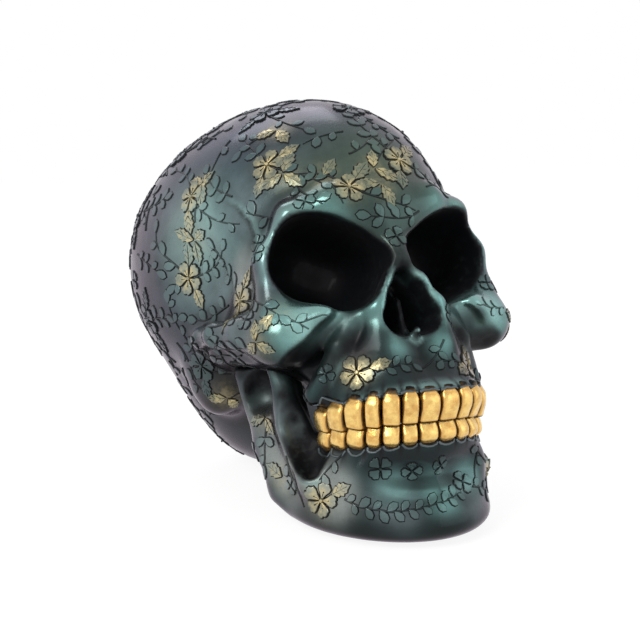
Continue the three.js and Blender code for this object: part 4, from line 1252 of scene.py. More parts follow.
    def fill(self, close):
        """Small sprigs and posies in what is left."""
        for p in self.scatter(close, FILL_PICKS):
            if not self.free(p, FILL_ROOM, 1.0):
                continue
            normal = self.surface.drop(p)[1]
            way = self.heading_at(normal, self.random.uniform(0, 2 * math.pi))
            kind = self.random.random()
            if kind < POSY_SHARE:
                self.place(POSY, p, way, self.random.uniform(0.8, 1.1), 0.85)
            elif kind < NARROW_SHARE:
                self.sprig(p, way, self.random.uniform(12, 20), NARROW, 5, 0.8)
            else:
                self.sprig(p, way, self.random.uniform(12, 26))


# Draping trees

def link_all(tree, links):
    for a, out, b, into in links:
        tree.links.new(a.outputs[out], b.inputs[into])


def named(tree, name, kind):
    node = tree.nodes.new("GeometryNodeInputNamedAttribute")
    node.data_type = kind
    node.inputs["Name"].default_value = name
    return node


def sampler(tree, kind, skin, value, output):
    """Reads a value of the skin at the nearest spot."""
    node = tree.nodes.new("GeometryNodeSampleNearestSurface")
    node.data_type = kind
    tree.links.new(skin.outputs["Geometry"], node.inputs["Mesh"])
    tree.links.new(value.outputs[output], node.inputs["Value"])
    return node


def store(tree, name, kind, geometry, output, value, value_output):
    node = tree.nodes.new("GeometryNodeStoreNamedAttribute")
    node.data_type = kind
    node.domain = "POINT"
    node.inputs["Name"].default_value = name
    tree.links.new(geometry.outputs[output], node.inputs["Geometry"])
    tree.links.new(value.outputs[value_output], node.inputs["Value"])
    return node


def start_tree(name, sockets):
    tree = bpy.data.node_groups.new(name, "GeometryNodeTree")
    tree.interface.new_socket("Geometry", in_out="INPUT", socket_type="NodeSocketGeometry")
    for label, kind in sockets:
        tree.interface.new_socket(label, in_out="INPUT", socket_type=kind)
    tree.interface.new_socket("Geometry", in_out="OUTPUT", socket_type="NodeSocketGeometry")
    return tree, tree.nodes.new("NodeGroupInput"), tree.nodes.new("NodeGroupOutput")


def send_out(tree, inlet, outlet, skin, geometry):
    """Gives draped geometry the skin's ground coat with its painted light, the skin's black wash with its
    painted shade, and its finish, and sends it out.
    """
    for name, kind in (("airbrush", "FLOAT_COLOR"), ("soot", "FLOAT")):
        read = sampler(tree, kind, skin, named(tree, name, kind), "Attribute")
        geometry = store(tree, name, kind, geometry, "Geometry", read, "Value")
    finish = tree.nodes.new("GeometryNodeSetMaterial")
    link_all(tree, (
        (geometry, "Geometry", finish, "Geometry"),
        (inlet, "Finish", finish, "Material"),
        (finish, "Geometry", outlet, "Geometry"),
    ))


def drape_tree():
    """Copies flat motifs to marked spots and wraps them onto a skin."""
    tree, inlet, outlet = start_tree("drape_motifs", (
        ("Skin", "NodeSocketObject"), ("Motifs", "NodeSocketCollection"), ("Finish", "NodeSocketMaterial"),
    ))
    new = tree.nodes.new
    motifs = new("GeometryNodeCollectionInfo")
    motifs.inputs["Separate Children"].default_value = True
    motifs.inputs["Reset Children"].default_value = True
    upright = new("FunctionNodeAlignRotationToVector")
    upright.axis = "Z"
    ahead = new("FunctionNodeAlignRotationToVector")
    ahead.axis = "X"
    ahead.pivot_axis = "Z"
    copies = new("GeometryNodeInstanceOnPoints")
    copies.inputs["Pick Instance"].default_value = True
    real = new("GeometryNodeRealizeInstances")
    skin = new("GeometryNodeObjectInfo")
    place = new("GeometryNodeInputPosition")
    nearest = sampler(tree, "FLOAT_VECTOR", skin, place, "Position")
    outward = sampler(tree, "FLOAT_VECTOR", skin, named(tree, "skin_normal", "FLOAT_VECTOR"), "Attribute")
    raised = new("ShaderNodeVectorMath")
    raised.operation = "SCALE"
    spot = new("ShaderNodeVectorMath")
    spot.operation = "ADD"
    wrap = new("GeometryNodeSetPosition")
    link_all(tree, (
        (inlet, "Motifs", motifs, "Collection"),
        (inlet, "Skin", skin, "Object"),
        (inlet, "Geometry", copies, "Points"),
        (motifs, "Instances", copies, "Instance"),
        (named(tree, "motif", "INT"), "Attribute", copies, "Instance Index"),
        (named(tree, "facing", "FLOAT_VECTOR"), "Attribute", upright, "Vector"),
        (upright, "Rotation", ahead, "Rotation"),
        (named(tree, "heading", "FLOAT_VECTOR"), "Attribute", ahead, "Vector"),
        (ahead, "Rotation", copies, "Rotation"),
        (named(tree, "size", "FLOAT"), "Attribute", copies, "Scale"),
        (copies, "Instances", real, "Geometry"),
        (real, "Geometry", wrap, "Geometry"),
        (outward, "Value", raised, 0),
        (named(tree, "lift", "FLOAT"), "Attribute", raised, "Scale"),
        (nearest, "Value", spot, 0),
        (raised, "Vector", spot, 1),
        (spot, "Vector", wrap, "Position"),
    ))
    send_out(tree, inlet, outlet, skin, wrap)
    return tree


def stem_tree():
    """Sweeps a round section along lines that lie on a skin."""
    tree, inlet, outlet = start_tree("sweep_stems", (
        ("Skin", "NodeSocketObject"), ("Sides", "NodeSocketInt"), ("Finish", "NodeSocketMaterial"),
    ))
    new = tree.nodes.new
    line = new("GeometryNodeMeshToCurve")
    section = new("GeometryNodeCurvePrimitiveCircle")
    section.inputs["Radius"].default_value = 1.0
    sweep = new("GeometryNodeCurveToMesh")
    sweep.inputs["Fill Caps"].default_value = True
    real = new("GeometryNodeRealizeInstances")
    skin = new("GeometryNodeObjectInfo")
    link_all(tree, (
        (inlet, "Geometry", line, "Mesh"),
        (inlet, "Sides", section, "Resolution"),
        (inlet, "Skin", skin, "Object"),
        (line, "Curve", sweep, "Curve"),
        (section, "Curve", sweep, "Profile Curve"),
        (named(tree, "thick", "FLOAT"), "Attribute", sweep, "Scale"),
        (sweep, "Mesh", real, "Geometry"),
    ))
    send_out(tree, inlet, outlet, skin, real)
    return tree


def run_tree(name, mesh, tree, values):
    """Runs a tree on a mesh and returns the result as a plain mesh."""
    carrier = bpy.data.objects.new(name + "_layout", mesh)
    bpy.context.scene.collection.objects.link(carrier)
    modifier = carrier.modifiers.new("drape", "NODES")
    modifier.node_group = tree
    for item in tree.interface.items_tree:
        if item.in_out == "INPUT" and item.name in values:
            modifier[item.identifier] = values[item.name]
    carrier.update_tag()
    graph = bpy.context.evaluated_depsgraph_get()
    draped = carrier.evaluated_get(graph)
    result = bpy.data.meshes.new_from_object(draped, preserve_all_data_layers=True, depsgraph=graph)
    carrier.modifiers.remove(modifier)
    bpy.data.objects.remove(carrier)
    if len(result.polygons) == 0:
        raise RuntimeError(f"{name} came out empty")
    result.name = name
    return result


def plates_mesh(plates):
    """One marked point for each motif."""
    base, facing, heading, size, motif, gold = [np.array(v) for v in zip(*plates)]
    mesh = mesh_from("motif_spots", base, [])
    put_values(mesh, "facing", facing, "FLOAT_VECTOR")
    put_values(mesh, "heading", heading, "FLOAT_VECTOR")
    put_values(mesh, "size", size)
    put_values(mesh, "motif", motif, "INT")
    put_values(mesh, "gilding", gold)
    return mesh


def lines_mesh(lines, radius, dark):
    """Stems as bare edges, thinner towards their tips."""
    points = np.concatenate(lines)
    thick = np.concatenate([radius * np.linspace(1.1, 0.7, len(line)) for line in lines])
    edges = []
    base = 0
    for line in lines:
        edges += [(base + i, base + i + 1) for i in range(len(line) - 1)]
        base += len(line)
    mesh = bpy.data.meshes.new("stem_lines")
    mesh.from_pydata((points * MM).tolist(), edges, [])
    put_values(mesh, "thick", thick)
    put_values(mesh, "edge", np.full(len(points), dark))
    return mesh


def gild(mesh, points, places):
    """Leaves a little gold dust on the skin round the given places."""
    dust = np.zeros(len(points))
    for p in places:
        far = ((points - np.array(p)) ** 2).sum(1)
        dust = np.maximum(dust, DUST_SHARE * np.exp(-far / DUST_REACH ** 2))
    put_values(mesh, "gilding", dust)
    put_values(mesh, "bloom", np.ones(len(points)))


# Finishes

def group_of(name, inputs, outputs):
    """A shader node group with named sockets."""
    tree = bpy.data.node_groups.new(name, "ShaderNodeTree")
    for label, kind, value in inputs:
        socket = tree.interface.new_socket(label, in_out="INPUT", socket_type=kind)
        socket.default_value = value
    for label, kind in outputs:
        tree.interface.new_socket(label, in_out="OUTPUT", socket_type=kind)
    return tree, tree.nodes.new("NodeGroupInput"), tree.nodes.new("NodeGroupOutput")


def feed(tree, socket, value):
    """Links a socket to another one, or sets it to a plain value."""
    if isinstance(value, bpy.types.NodeSocket):
        tree.links.new(value, socket)
    else:
        socket.default_value = value


def maths(tree, operation, a, b, clamp=False):
    """One step of arithmetic; a and b are sockets or numbers."""
    node = tree.nodes.new("ShaderNodeMath")
    node.operation = operation
    node.use_clamp = clamp
    feed(tree, node.inputs[0], a)
    feed(tree, node.inputs[1], b)
    return node.outputs[0]


def spread(tree, value, low, high, to_low, to_high):
    """Maps a value from one range to another, held at the ends."""
    node = tree.nodes.new("ShaderNodeMapRange")
    for label, number in (("From Min", low), ("From Max", high), ("To Min", to_low), ("To Max", to_high)):
        node.inputs[label].default_value = number
    tree.links.new(value, node.inputs["Value"])
    return node.outputs["Result"]


def mixed(tree, factor, a, b, blend="MIX"):
    """Mixes two colours, each a socket or a plain colour."""
    node = tree.nodes.new("ShaderNodeMix")
    node.data_type = "RGBA"
    node.blend_type = blend
    for i, value in ((0, factor), (6, a), (7, b)):
        feed(tree, node.inputs[i], value)
    return node.outputs[2]


def noise(tree, scale, detail=3.0, rough=0.5):
    """Noise over the piece's own space, in cycles a metre."""
    space = tree.nodes.new("ShaderNodeTexCoord")
    node = tree.nodes.new("ShaderNodeTexNoise")
    node.inputs["Detail"].default_value = detail
    node.inputs["Roughness"].default_value = rough
    tree.links.new(space.outputs["Object"], node.inputs["Vector"])
    feed(tree, node.inputs["Scale"], scale)
    return node.outputs["Fac"]


def mottle_group():
    """Cloudy unevenness of a sprayed coat."""
    tree, inlet, outlet = group_of("sprayed_mottling", (
        ("Colour", "NodeSocketColor", (0.5, 0.5, 0.5, 1)),
        ("Scale", "NodeSocketFloat", 60.0),
        ("Amount", "NodeSocketFloat", 0.3),
    ), (("Colour", "NodeSocketColor"),))
    cloud = spread(tree, noise(tree, inlet.outputs["Scale"], 5.0, 0.6), 0.3, 0.7, -1, 1)
    swing = maths(tree, "MULTIPLY", cloud, inlet.outputs["Amount"])
    level = maths(tree, "ADD", swing, 1.0)
    grey = tree.nodes.new("ShaderNodeCombineColor")
    for channel in grey.inputs:
        tree.links.new(level, channel)
    clouded = mixed(tree, 1.0, inlet.outputs["Colour"], grey.outputs[0], "MULTIPLY")
    tree.links.new(clouded, outlet.inputs["Colour"])
    return tree


def wash_and_shade_group():
    """Dark wash and painted shade that stay in hollows and along edges, broken up as if wiped."""
    tree, inlet, outlet = group_of("dark_wash", (
        ("Colour", "NodeSocketColor", (0.5, 0.5, 0.5, 1)),
        ("Wash", "NodeSocketColor", (0.01, 0.01, 0.01, 1)),
        ("Hollow", "NodeSocketFloat", 0.0),
        ("Edge", "NodeSocketFloat", 0.0),
        ("Scale", "NodeSocketFloat", 300.0),
    ), (("Colour", "NodeSocketColor"), ("Mask", "NodeSocketFloat")))
    wiped = spread(tree, noise(tree, inlet.outputs["Scale"], 4.0), 0.3, 0.7, -0.12, 0.12)
    both = maths(tree, "MAXIMUM", inlet.outputs["Hollow"], inlet.outputs["Edge"])
    shaken = maths(tree, "ADD", both, maths(tree, "MULTIPLY", wiped, both))
    mask = maths(tree, "MINIMUM", shaken, 1.0, True)
    tree.links.new(mask, outlet.inputs["Mask"])
    washed = mixed(tree, mask, inlet.outputs["Colour"], inlet.outputs["Wash"])
    tree.links.new(washed, outlet.inputs["Colour"])
    return tree


def grain_group():
    """Fine tooth of a cast and painted surface, as a height and as a gloss."""
    tree, inlet, outlet = group_of("cast_grain", (
        ("Scale", "NodeSocketFloat", 900.0),
        ("Gloss", "NodeSocketFloat", 0.3),
        ("Spread", "NodeSocketFloat", 0.1),
    ), (("Height", "NodeSocketFloat"), ("Roughness", "NodeSocketFloat")))
    fine = noise(tree, inlet.outputs["Scale"], 3.0)
    coarse = noise(tree, 110.0, 3.0)
    height = maths(tree, "ADD", maths(tree, "MULTIPLY", fine, 0.35), coarse)
    tree.links.new(height, outlet.inputs["Height"])
    swing = maths(tree, "MULTIPLY", spread(tree, coarse, 0.3, 0.7, -1, 1), inlet.outputs["Spread"])
    tree.links.new(maths(tree, "ADD", swing, inlet.outputs["Gloss"], True), outlet.inputs["Roughness"])
    return tree


def placed_group(tree, group, **values):
    node = tree.nodes.new("ShaderNodeGroup")
    node.node_tree = group
    for label, value in values.items():
        feed(tree, node.inputs[label], value)
    return node


def attribute(tree, name, output="Fac"):
    node = tree.nodes.new("ShaderNodeAttribute")
    node.attribute_name = name
    return node.outputs[output]


def start_material(name):
    material = bpy.data.materials.new(name)
    material.use_nodes = True
    tree = material.node_tree
    return material, tree, tree.nodes["Principled BSDF"]


def bumped(tree, height, strength, distance):
    node = tree.nodes.new("ShaderNodeBump")
    node.inputs["Strength"].default_value = strength
    node.inputs["Distance"].default_value = distance
    tree.links.new(height, node.inputs["Height"])
    return node.outputs["Normal"]


def by_wash_and_shade(tree, mask, shader, values):
    """Sets inputs of a finish by how much wash and painted shade lie on it: values for clean and for fully
    darkened.
    """
    for label, (clean, washed) in values.items():
        tree.links.new(spread(tree, mask, 0.0, 1.0, clean, washed), shader.inputs[label])


def painted_resin(paint, groups):
    """Pearl paint on cast resin with its painted light, gold dust, and a dark wash with painted shade."""
    material, tree, shader = start_material("painted_resin")
    # The ground coat with its painted light and shade
    ground = placed_group(
        tree, groups["mottle"], Colour=attribute(tree, "airbrush", "Color"), Scale=55.0, Amount=0.28
    )
    dust = attribute(tree, "gilding")
    flecks = spread(tree, noise(tree, 420.0, 4.0, 0.65), 0.36, 0.64, 0.25, 1.0)
    gold = maths(tree, "MULTIPLY", maths(tree, "MULTIPLY", dust, flecks), attribute(tree, "bloom"), True)
    # Painted highlight on the raised tops of leaves and petals
    brushed = maths(tree, "MULTIPLY", attribute(tree, "raised"), 0.09)
    raised = mixed(tree, brushed, ground.outputs["Colour"], paint.highlight)
    gilded = mixed(tree, gold, raised, paint.gold_dust)
    wash = placed_group(
        tree, groups["wash"], Colour=gilded, Wash=paint.soot, Hollow=attribute(tree, "soot"),
        Edge=attribute(tree, "edge"), Scale=260.0
    )
    mask = wash.outputs["Mask"]
    grain = placed_group(tree, groups["grain"], Scale=1100.0, Gloss=0.26, Spread=0.07)
    dulled = maths(tree, "MULTIPLY", mask, 0.28)
    tree.links.new(wash.outputs["Colour"], shader.inputs["Base Color"])
    tree.links.new(maths(tree, "ADD", grain.outputs["Roughness"], dulled), shader.inputs["Roughness"])
    tree.links.new(bumped(tree, grain.outputs["Height"], 0.25, 0.0004), shader.inputs["Normal"])
    by_wash_and_shade(tree, mask, shader, {
        "Metallic": (0.85, 0.05), "Coat Weight": (0.16, 0.05), "Specular IOR Level": (0.5, 0.15),
    })
    for label, value in (("Coat Roughness", 0.12), ("Sheen Weight", 0.04), ("Sheen Roughness", 0.35)):
        shader.inputs[label].default_value = value
    for label in ("Sheen Tint", "Specular Tint"):
        shader.inputs[label].default_value = tuple(paint.edge_sheen)
    return material


def gilt_tooth(paint, groups):
    """Gold paint with amber patches, and painted shade at its sides, neck and bite, first amber and then
    black at the very edges.
    """
    material, tree, shader = start_material("gilt_tooth")
    patches = spread(tree, noise(tree, 260.0, 4.0), 0.42, 0.66, 0.0, 0.75)
    tooth_shade = attribute(tree, "edge")
    # Amber patches, and amber painted shade towards the sides, neck and bite
    amber_and_shade = maths(tree, "MAXIMUM", patches, spread(tree, tooth_shade, 0.2, 0.9, 0.0, 0.8))
    colour = mixed(tree, amber_and_shade, paint.tooth_gold, paint.tooth_amber)
    ground = placed_group(tree, groups["mottle"], Colour=colour, Scale=700.0, Amount=0.12)
    # Black painted shade at the very sides, neck and bite
    wash = placed_group(
        tree, groups["wash"], Colour=ground.outputs["Colour"], Wash=paint.soot, Hollow=0.0,
        Edge=spread(tree, tooth_shade, 0.86, 1.0, 0.0, 1.0), Scale=500.0
    )
    grain = placed_group(tree, groups["grain"], Scale=900.0, Gloss=0.27, Spread=0.10)
    tree.links.new(wash.outputs["Colour"], shader.inputs["Base Color"])
    tree.links.new(grain.outputs["Roughness"], shader.inputs["Roughness"])
    tree.links.new(bumped(tree, grain.outputs["Height"], 0.5, 0.0006), shader.inputs["Normal"])
    by_wash_and_shade(tree, wash.outputs["Mask"], shader, {
        "Metallic": (0.85, 0.1), "Coat Weight": (0.3, 0.02), "Specular IOR Level": (0.5, 0.1),
    })
    shader.inputs["Coat Roughness"].default_value = 0.1
    return material


def felt_finish(paint, groups):
    """Black pressed felt."""
    material, tree, shader = start_material("felt")
    ground = placed_group(tree, groups["mottle"], Colour=tuple(paint.felt), Scale=1800.0, Amount=0.5)
    grain = placed_group(tree, groups["grain"], Scale=2600.0, Gloss=0.92, Spread=0.04)
    tree.links.new(ground.outputs["Colour"], shader.inputs["Base Color"])
    tree.links.new(grain.outputs["Roughness"], shader.inputs["Roughness"])
    tree.links.new(bumped(tree, grain.outputs["Height"], 0.8, 0.0005), shader.inputs["Normal"])
    shader.inputs["Sheen Weight"].default_value = 0.4
    return material


def finishes():
    """The three finishes, made once."""
    if "finishes" not in workshop:
        paint = bpy.context.scene.skull_paint
        groups = {"mottle": mottle_group(), "wash": wash_and_shade_group(), "grain": grain_group()}
        workshop["finishes"] = {
            "painted_resin": painted_resin(paint, groups),
            "gilt_tooth": gilt_tooth(paint, groups),
            "felt": felt_finish(paint, groups),
        }
    return workshop["finishes"]


# Settings

def length_setting(name, description, default):
    return bpy.props.FloatProperty(
        name=name, description=description, default=default, min=0.00005,
        unit="LENGTH", subtype="DISTANCE", precision=5
    )


def colour_setting(name, description, default):
    return bpy.props.FloatVectorProperty(
        name=name, description=description, default=default + (1.0,),
        size=4, min=0.0, max=1.0, subtype="COLOR"
    )


def plain_setting(name, description, default, unit="NONE"):
    return bpy.props.FloatProperty(name=name, description=description, default=default, unit=unit)


class SkullCasting(bpy.types.PropertyGroup):
    """How finely the two castings are faced."""

    cranium_grain: length_setting("Cranium grain", "Grid that the cranium is faced on", 0.00125)
    jaw_grain: length_setting("Jaw grain", "Grid that the lower jaw is faced on", 0.0009)


class SkullRelief(bpy.types.PropertyGroup):
    """Sizes of the floral relief."""

    plate_height: length_setting("Plate height", "How far leaves and petals stand out", 0.0008)
    wall_lean: length_setting("Wall lean", "How far a plate's dark wall leans out", 0.00025)
    stem_radius: length_setting("Stem radius", "Half the thickness of a stem", 0.0005)
    margin_radius: length_setting("Gum margin radius", "Half the thickness of the ridge over a tooth", 0.0006)
    sprig_spacing: length_setting("Sprig spacing", "Least distance between small sprigs", 0.0105)
    seed: bpy.props.IntProperty(name="Seed", description="Starts the layout of the relief", default=7, min=0)


class SkullPaint(bpy.types.PropertyGroup):
    """Colours of the paint, as linear values."""

    teal: colour_setting("Teal", "Ground coat", (0.028, 0.054, 0.055))
    # Turquoise is laid as painted highlight
    turquoise: colour_setting("Turquoise", "Bright coat on temples and cheekbones", (0.165, 0.345, 0.325))
    slate: colour_setting("Slate", "Blue coat over the crown", (0.048, 0.066, 0.086))
    sage: colour_setting("Sage", "Green coat on the forehead", (0.076, 0.112, 0.082))
    # The palest coat is a painted reflection
    painted_reflection: colour_setting("Frost", "Palest coat, on the temple and the jaw", (0.30, 0.335, 0.32))
    # Mist is laid as painted highlight
    mist: colour_setting("Mist", "Pale blue coat on the brow, the arches and the jaw", (0.135, 0.172, 0.185))
    # Violet is also laid on the sides as a painted reflection
    violet: colour_setting("Violet", "Grey-violet coat at the sides", (0.110, 0.098, 0.122))
    deep: colour_setting("Deep", "Near-black green of the gums and the jaw", (0.012, 0.018, 0.018))
    # Deep is also laid as painted shade on the crown and the face
    umber: colour_setting("Umber", "Brown coat low at the back", (0.050, 0.044, 0.042))
    highlight: colour_setting("Highlight", "Pale coat brushed along ridges", (0.320, 0.540, 0.510))
    # The black of the wash, also used for painted shade
    soot: colour_setting("Soot", "Dark wash in hollows and edges", (0.006, 0.007, 0.008))
    gold_dust: colour_setting("Gold dust", "Gold brushed over blossoms", (0.74, 0.61, 0.31))
    edge_sheen: colour_setting("Edge sheen", "Lilac pearl at grazing angles", (0.80, 0.72, 0.80))
    tooth_gold: colour_setting("Tooth gold", "Gold of the teeth", (0.92, 0.62, 0.20))
    tooth_amber: colour_setting("Tooth amber", "Darker patches on the teeth", (0.62, 0.32, 0.075))
    felt: colour_setting("Felt", "Pads under the ornament", (0.012, 0.012, 0.013))


class SkullStage(bpy.types.PropertyGroup):
    """Camera and light."""

    camera_place: bpy.props.FloatVectorProperty(
        name="Camera place", description="Where the camera stands", default=(-0.2804, -0.5550, 0.1646),
        size=3, unit="LENGTH", subtype="TRANSLATION"
    )
    camera_way: bpy.props.FloatVectorProperty(
        name="Camera way", description="Where the camera looks", default=(0.4490, 0.8820, -0.1432), size=3,
        subtype="DIRECTION"
    )
    lens: plain_setting("Lens", "Focal length for a 36 mm sensor", 78.75)
    key_power: plain_setting("Key power", "Soft light from the upper left", 5.0, "POWER")
    fill_power: plain_setting("Fill power", "Wide light from the right", 1.6, "POWER")
    top_power: plain_setting("Top power", "Light from above and behind", 2.5, "POWER")
    floor_glow: plain_setting("Floor glow", "Brings the open floor up to white where it is seen", 1.26)
    surround: plain_setting("Surround", "Level of the light all round", 0.4)


# Steps

CRANIUM_ROOM = ((0, -114, -2), (74, 114, 176))
JAW_ROOM = ((0, -118, -2), (56, 8, 74))


class SKULL_OT_cranium(bpy.types.Operator):
    """Cast and paint the cranium"""

    bl_idname = "skull.cranium"
    bl_label = "Cranium"

    def execute(self, context):
        scene = context.scene
        grain = scene.skull_casting.cranium_grain / MM
        mesh = cast_skin(
            "cranium_skin", cranium_field, cranium_pair, CRANIUM_ROOM, grain, scene.skull_paint, cranium_bare
        )
        add_piece("cranium_skin", mesh, ["cranium"], finishes()["painted_resin"])
        return {"FINISHED"}


class SKULL_OT_jaw(bpy.types.Operator):
    """Cast and paint the lower jaw"""

    bl_idname = "skull.jaw"
    bl_label = "Lower jaw"

    def execute(self, context):
        scene = context.scene
        grain = scene.skull_casting.jaw_grain / MM
        mesh = cast_skin("jaw_skin", mandible_field, jaw_pair, JAW_ROOM, grain, scene.skull_paint, jaw_bare)
        add_piece("jaw_skin", mesh, ["mandible"], finishes()["painted_resin"])
        return {"FINISHED"}


class SKULL_OT_teeth(bpy.types.Operator):
    """Set the upper and lower rows of gilt teeth"""

    bl_idname = "skull.teeth"
    bl_label = "Teeth"

    def execute(self, context):
        for jaw in ROWS:
            points = []
            faces = []
            dark = []
            names = []
            for label, row, form, width, crown, origin, axes in every_tooth():
                if row != jaw:
                    continue
                p, f, d = tooth_mesh(form, width, crown)
                base = sum(len(q) for q in points)
                points.append(origin + p @ np.array(axes))
                if jaw == "lower":
                    f = [face[::-1] for face in f]
                faces += [tuple(base + v for v in face) for face in f]
                dark.append(d)
                names.append(label)
            mesh = mesh_from(f"{jaw}_teeth_gilt", np.concatenate(points), faces)
            # Each tooth's painted shade at its sides, neck and bite
            put_values(mesh, "edge", np.concatenate(dark))
            add_piece(f"{jaw}_teeth_gilt", mesh, names, finishes()["gilt_tooth"])
        return {"FINISHED"}


STEM_SIDES = 6
STEM_DARK = 0.7
MARGIN_SOOT = 0.25
MARGIN_DARK = 0.15
MARGIN_POINTS = 13
MARGIN_FOOT = 0.74
MARGIN_ARCH = 0.26
MARGIN_POWER = 2.6
MARGIN_OVER = 1.2
MARGIN_ASIDE = 0.2
MARGIN_AHEAD = 2


def margin_line(surface, tooth):
    """The scalloped ridge of gum over one tooth, laid on the skin."""
    _, _, _, width, crown, origin, (along, inward, rootward) = tooth
    line = []
    for t in np.linspace(-1, 1, MARGIN_POINTS):
        round_top = (1 - abs(t) ** MARGIN_POWER) ** 0.5
        rise = crown * MARGIN_FOOT + (crown * MARGIN_ARCH + MARGIN_OVER) * round_top
        place = origin + along * t * (width / 2 + MARGIN_ASIDE)
        place = place - inward * (TOOTH_DEPTH / 2 + MARGIN_AHEAD) + rootward * rise
        line.append(surface.drop(place)[0])
    return np.array(line)


class SKULL_OT_relief(bpy.types.Operator):
    """Lay out the floral relief, drape it and dust it with gold"""

    bl_idname = "skull.relief"
    bl_label = "Floral relief"

    def execute(self, context):
        relief = context.scene.skull_relief
        finish = finishes()["painted_resin"]
        motifs = motif_collection(relief)
        drape = drape_tree()
        sweep = stem_tree()
        plan = (
            ("cranium_skin", "cranium", BLOSSOMS, GILDED, GOLD_LEAVES, GARLANDS, "upper"),
            ("jaw_skin", "jaw", JAW_BLOSSOMS, JAW_GILDED, JAW_LEAVES, JAW_GARLANDS, "lower"),
        )
        for skin_name, label, blossoms, shining, leaves, garlands, row in plan:
            skin = bpy.data.objects[skin_name]
            surface = workshop[skin_name]
            gild(skin.data, surface.points, [blossoms[i][:3] for i in shining] + list(leaves))
            garden = Garden(surface, relief.seed)
            for i, (x, y, z, degrees) in enumerate(blossoms):
                garden.blossom(np.array([x, y, z], float), degrees, 1.0 if i in shining else 0.0)
            for p in leaves:
                garden.leaf_pair(np.array(p, float))
            for places in garlands:
                garden.garland(places)
            garden.fill(relief.sprig_spacing / MM)
            values = {"Skin": skin, "Motifs": motifs, "Finish": finish}
            mesh = run_tree(f"{label}_blossoms", plates_mesh(garden.plates), drape, values)
            add_piece(f"{label}_blossoms", mesh)
            stems = lines_mesh(garden.stems, relief.stem_radius, STEM_DARK)
            values = {"Skin": skin, "Sides": STEM_SIDES, "Finish": finish}
            add_piece(f"{label}_stems", run_tree(f"{label}_stems", stems, sweep, values))
            margins = [margin_line(surface, tooth) for tooth in every_tooth() if tooth[1] == row]
            ridge = lines_mesh(margins, relief.margin_radius, MARGIN_DARK)
            mesh = run_tree(f"{row}_gum_margin", ridge, sweep, values)
            pale = np.tile(np.array(context.scene.skull_paint.mist[:3]), (len(mesh.vertices), 1))
            put_values(mesh, "soot", np.full(len(pale), MARGIN_SOOT))
            put_values(mesh, "airbrush", pale, "FLOAT_COLOR")
            add_piece(f"{row}_gum_margin", mesh)
        for motif in list(motifs.objects):
            bpy.data.objects.remove(motif)
        bpy.data.collections.remove(motifs)
        return {"FINISHED"}


PADS = ("felt_pad_jaw_left", "felt_pad_jaw_right", "felt_pad_back")


class SKULL_OT_pads(bpy.types.Operator):
    """Finish the felt pads"""

    bl_idname = "skull.pads"
    bl_label = "Felt pads"

    def execute(self, context):
        for name in PADS:
            pad = frame["nodes"][name]
            pad.data.materials.clear()
            pad.data.materials.append(finishes()["felt"])
        return {"FINISHED"}


# Stage: the floor, and each lamp's place, size and colour

FLOOR_HALF = 3.0
FLOOR_COLOUR = (0.86, 0.86, 0.86, 1)
FLOOR_ROUGHNESS = 0.9
FLOOR_SEEN = 0.7
WHITE = (1, 1, 1, 1)
SENSOR_WIDTH = 36.0
NEAR_CLIP = 0.01
LIT_SPOT = (0.0, 0.0, 0.09)
LAMPS = (
    ("key", (-0.85, -0.45, 0.75), (0.55, 0.55), (1.0, 0.98, 0.95)),
    ("fill", (0.75, -0.85, 0.35), (0.9, 0.9), (0.93, 0.97, 1.0)),
    ("top", (0.1, 0.75, 0.95), (0.7, 0.5), (1.0, 1.0, 1.0)),
)


def add_lamp(scene, name, place, size, power, colour):
    lamp = bpy.data.lights.new(name, "AREA")
    lamp.shape = "RECTANGLE"
    lamp.size = size[0]
    lamp.size_y = size[1]
    lamp.energy = power
    lamp.color = colour
    holder = bpy.data.objects.new(name, lamp)
    holder.location = place
    way = Vector(LIT_SPOT) - Vector(place)
    holder.rotation_euler = way.to_track_quat("-Z", "Y").to_euler()
    scene.collection.objects.link(holder)


def swap_where_seen(tree, plain, seen, share, outlet):
    """Puts one shader in another's place, by a share, where the camera and reflections see it."""
    path = tree.nodes.new("ShaderNodeLightPath")
    rays = maths(tree, "MAXIMUM", path.outputs["Is Camera Ray"], path.outputs["Is Glossy Ray"])
    rays = maths(tree, "MAXIMUM", rays, path.outputs["Is Transmission Ray"])
    blend = tree.nodes.new("ShaderNodeMixShader")
    tree.links.new(maths(tree, "MULTIPLY", rays, share), blend.inputs[0])
    tree.links.new(plain.outputs[0], blend.inputs[1])
    tree.links.new(seen.outputs[0], blend.inputs[2])
    tree.links.new(blend.outputs[0], tree.nodes[outlet].inputs["Surface"])


def lay_floor(scene, glow_level):
    """A pale floor that keeps the shadow and goes to white round it."""
    mesh = bpy.data.meshes.new("floor")
    corners = [(x * FLOOR_HALF, y * FLOOR_HALF, 0) for x, y in ((-1, -1), (1, -1), (1, 1), (-1, 1))]
    mesh.from_pydata(corners, [], [(0, 1, 2, 3)])
    floor = bpy.data.objects.new("floor", mesh)
    scene.collection.objects.link(floor)
    material, tree, shader = start_material("pale_floor")
    shader.inputs["Base Color"].default_value = FLOOR_COLOUR
    shader.inputs["Roughness"].default_value = FLOOR_ROUGHNESS
    glow = tree.nodes.new("ShaderNodeEmission")
    glow.inputs["Strength"].default_value = glow_level
    swap_where_seen(tree, shader, glow, FLOOR_SEEN, "Material Output")
    mesh.materials.append(material)


def light_world(scene, level):
    """Even light all round, seen as white."""
    world = bpy.data.worlds.new("studio")
    scene.world = world
    world.use_nodes = True
    tree = world.node_tree
    plain = tree.nodes["Background"]
    plain.inputs["Color"].default_value = WHITE
    plain.inputs["Strength"].default_value = level
    white = tree.nodes.new("ShaderNodeBackground")
    white.inputs["Color"].default_value = WHITE
    swap_where_seen(tree, plain, white, 1.0, "World Output")


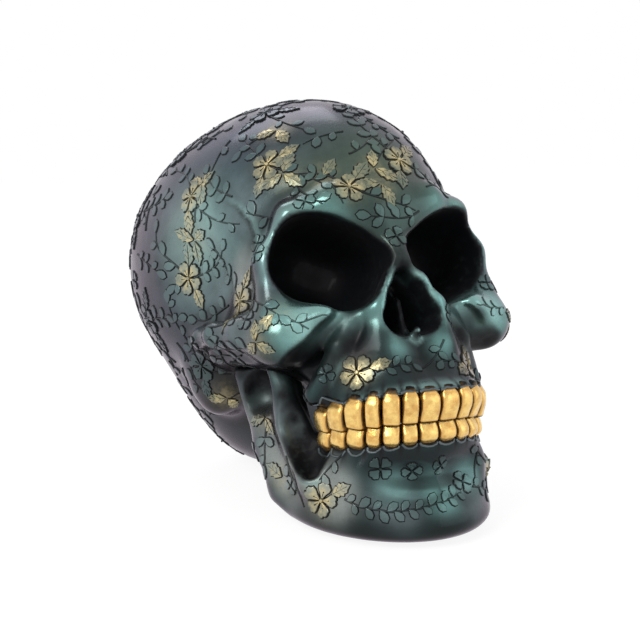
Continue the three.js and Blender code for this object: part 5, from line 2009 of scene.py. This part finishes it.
def aim_camera(scene, stage):
    data = bpy.data.cameras.new("camera")
    data.sensor_width = SENSOR_WIDTH
    data.lens = stage.lens
    data.clip_start = NEAR_CLIP
    camera = bpy.data.objects.new("camera", data)
    camera.location = stage.camera_place
    camera.rotation_euler = Vector(stage.camera_way).to_track_quat("-Z", "Y").to_euler()
    scene.collection.objects.link(camera)
    scene.camera = camera


class SKULL_OT_stage(bpy.types.Operator):
    """Set the floor, the soft light and the camera"""

    bl_idname = "skull.stage"
    bl_label = "Stage"

    def execute(self, context):
        scene = context.scene
        stage = scene.skull_stage
        scene.view_settings.view_transform = "Standard"
        lay_floor(scene, stage.floor_glow)
        light_world(scene, stage.surround)
        for name, place, size, colour in LAMPS:
            add_lamp(scene, f"{name}_light", place, size, getattr(stage, f"{name}_power"), colour)
        aim_camera(scene, stage)
        return {"FINISHED"}


class SKULL_PT_steps(bpy.types.Panel):
    """Lists the steps and their settings"""

    bl_idname = "SKULL_PT_steps"
    bl_label = "Floral Skull"
    bl_space_type = "VIEW_3D"
    bl_region_type = "UI"
    bl_category = "Skull"

    def draw(self, context):
        for step in STEPS:
            self.layout.operator(step.bl_idname)
        for name, group in SETTINGS.items():
            box = self.layout.box()
            settings = getattr(context.scene, name)
            for prop in group.__annotations__:
                box.prop(settings, prop)


SETTINGS = {
    "skull_casting": SkullCasting,
    "skull_relief": SkullRelief,
    "skull_paint": SkullPaint,
    "skull_stage": SkullStage,
}
STEPS = (
    SKULL_OT_cranium, SKULL_OT_jaw, SKULL_OT_teeth, SKULL_OT_relief, SKULL_OT_pads, SKULL_OT_stage,
)


def register():
    for name, group in SETTINGS.items():
        bpy.utils.register_class(group)
        setattr(bpy.types.Scene, name, bpy.props.PointerProperty(type=group))
    for step in STEPS:
        bpy.utils.register_class(step)
    bpy.utils.register_class(SKULL_PT_steps)


def unregister():
    bpy.utils.unregister_class(SKULL_PT_steps)
    for step in reversed(STEPS):
        bpy.utils.unregister_class(step)
    for name, group in reversed(list(SETTINGS.items())):
        delattr(bpy.types.Scene, name)
        bpy.utils.unregister_class(group)


def main():
    register()
    bpy.ops.skull.cranium()
    bpy.ops.skull.jaw()
    bpy.ops.skull.teeth()
    bpy.ops.skull.relief()
    bpy.ops.skull.pads()
    bpy.ops.skull.stage()


if __name__ == "__main__":
    main()
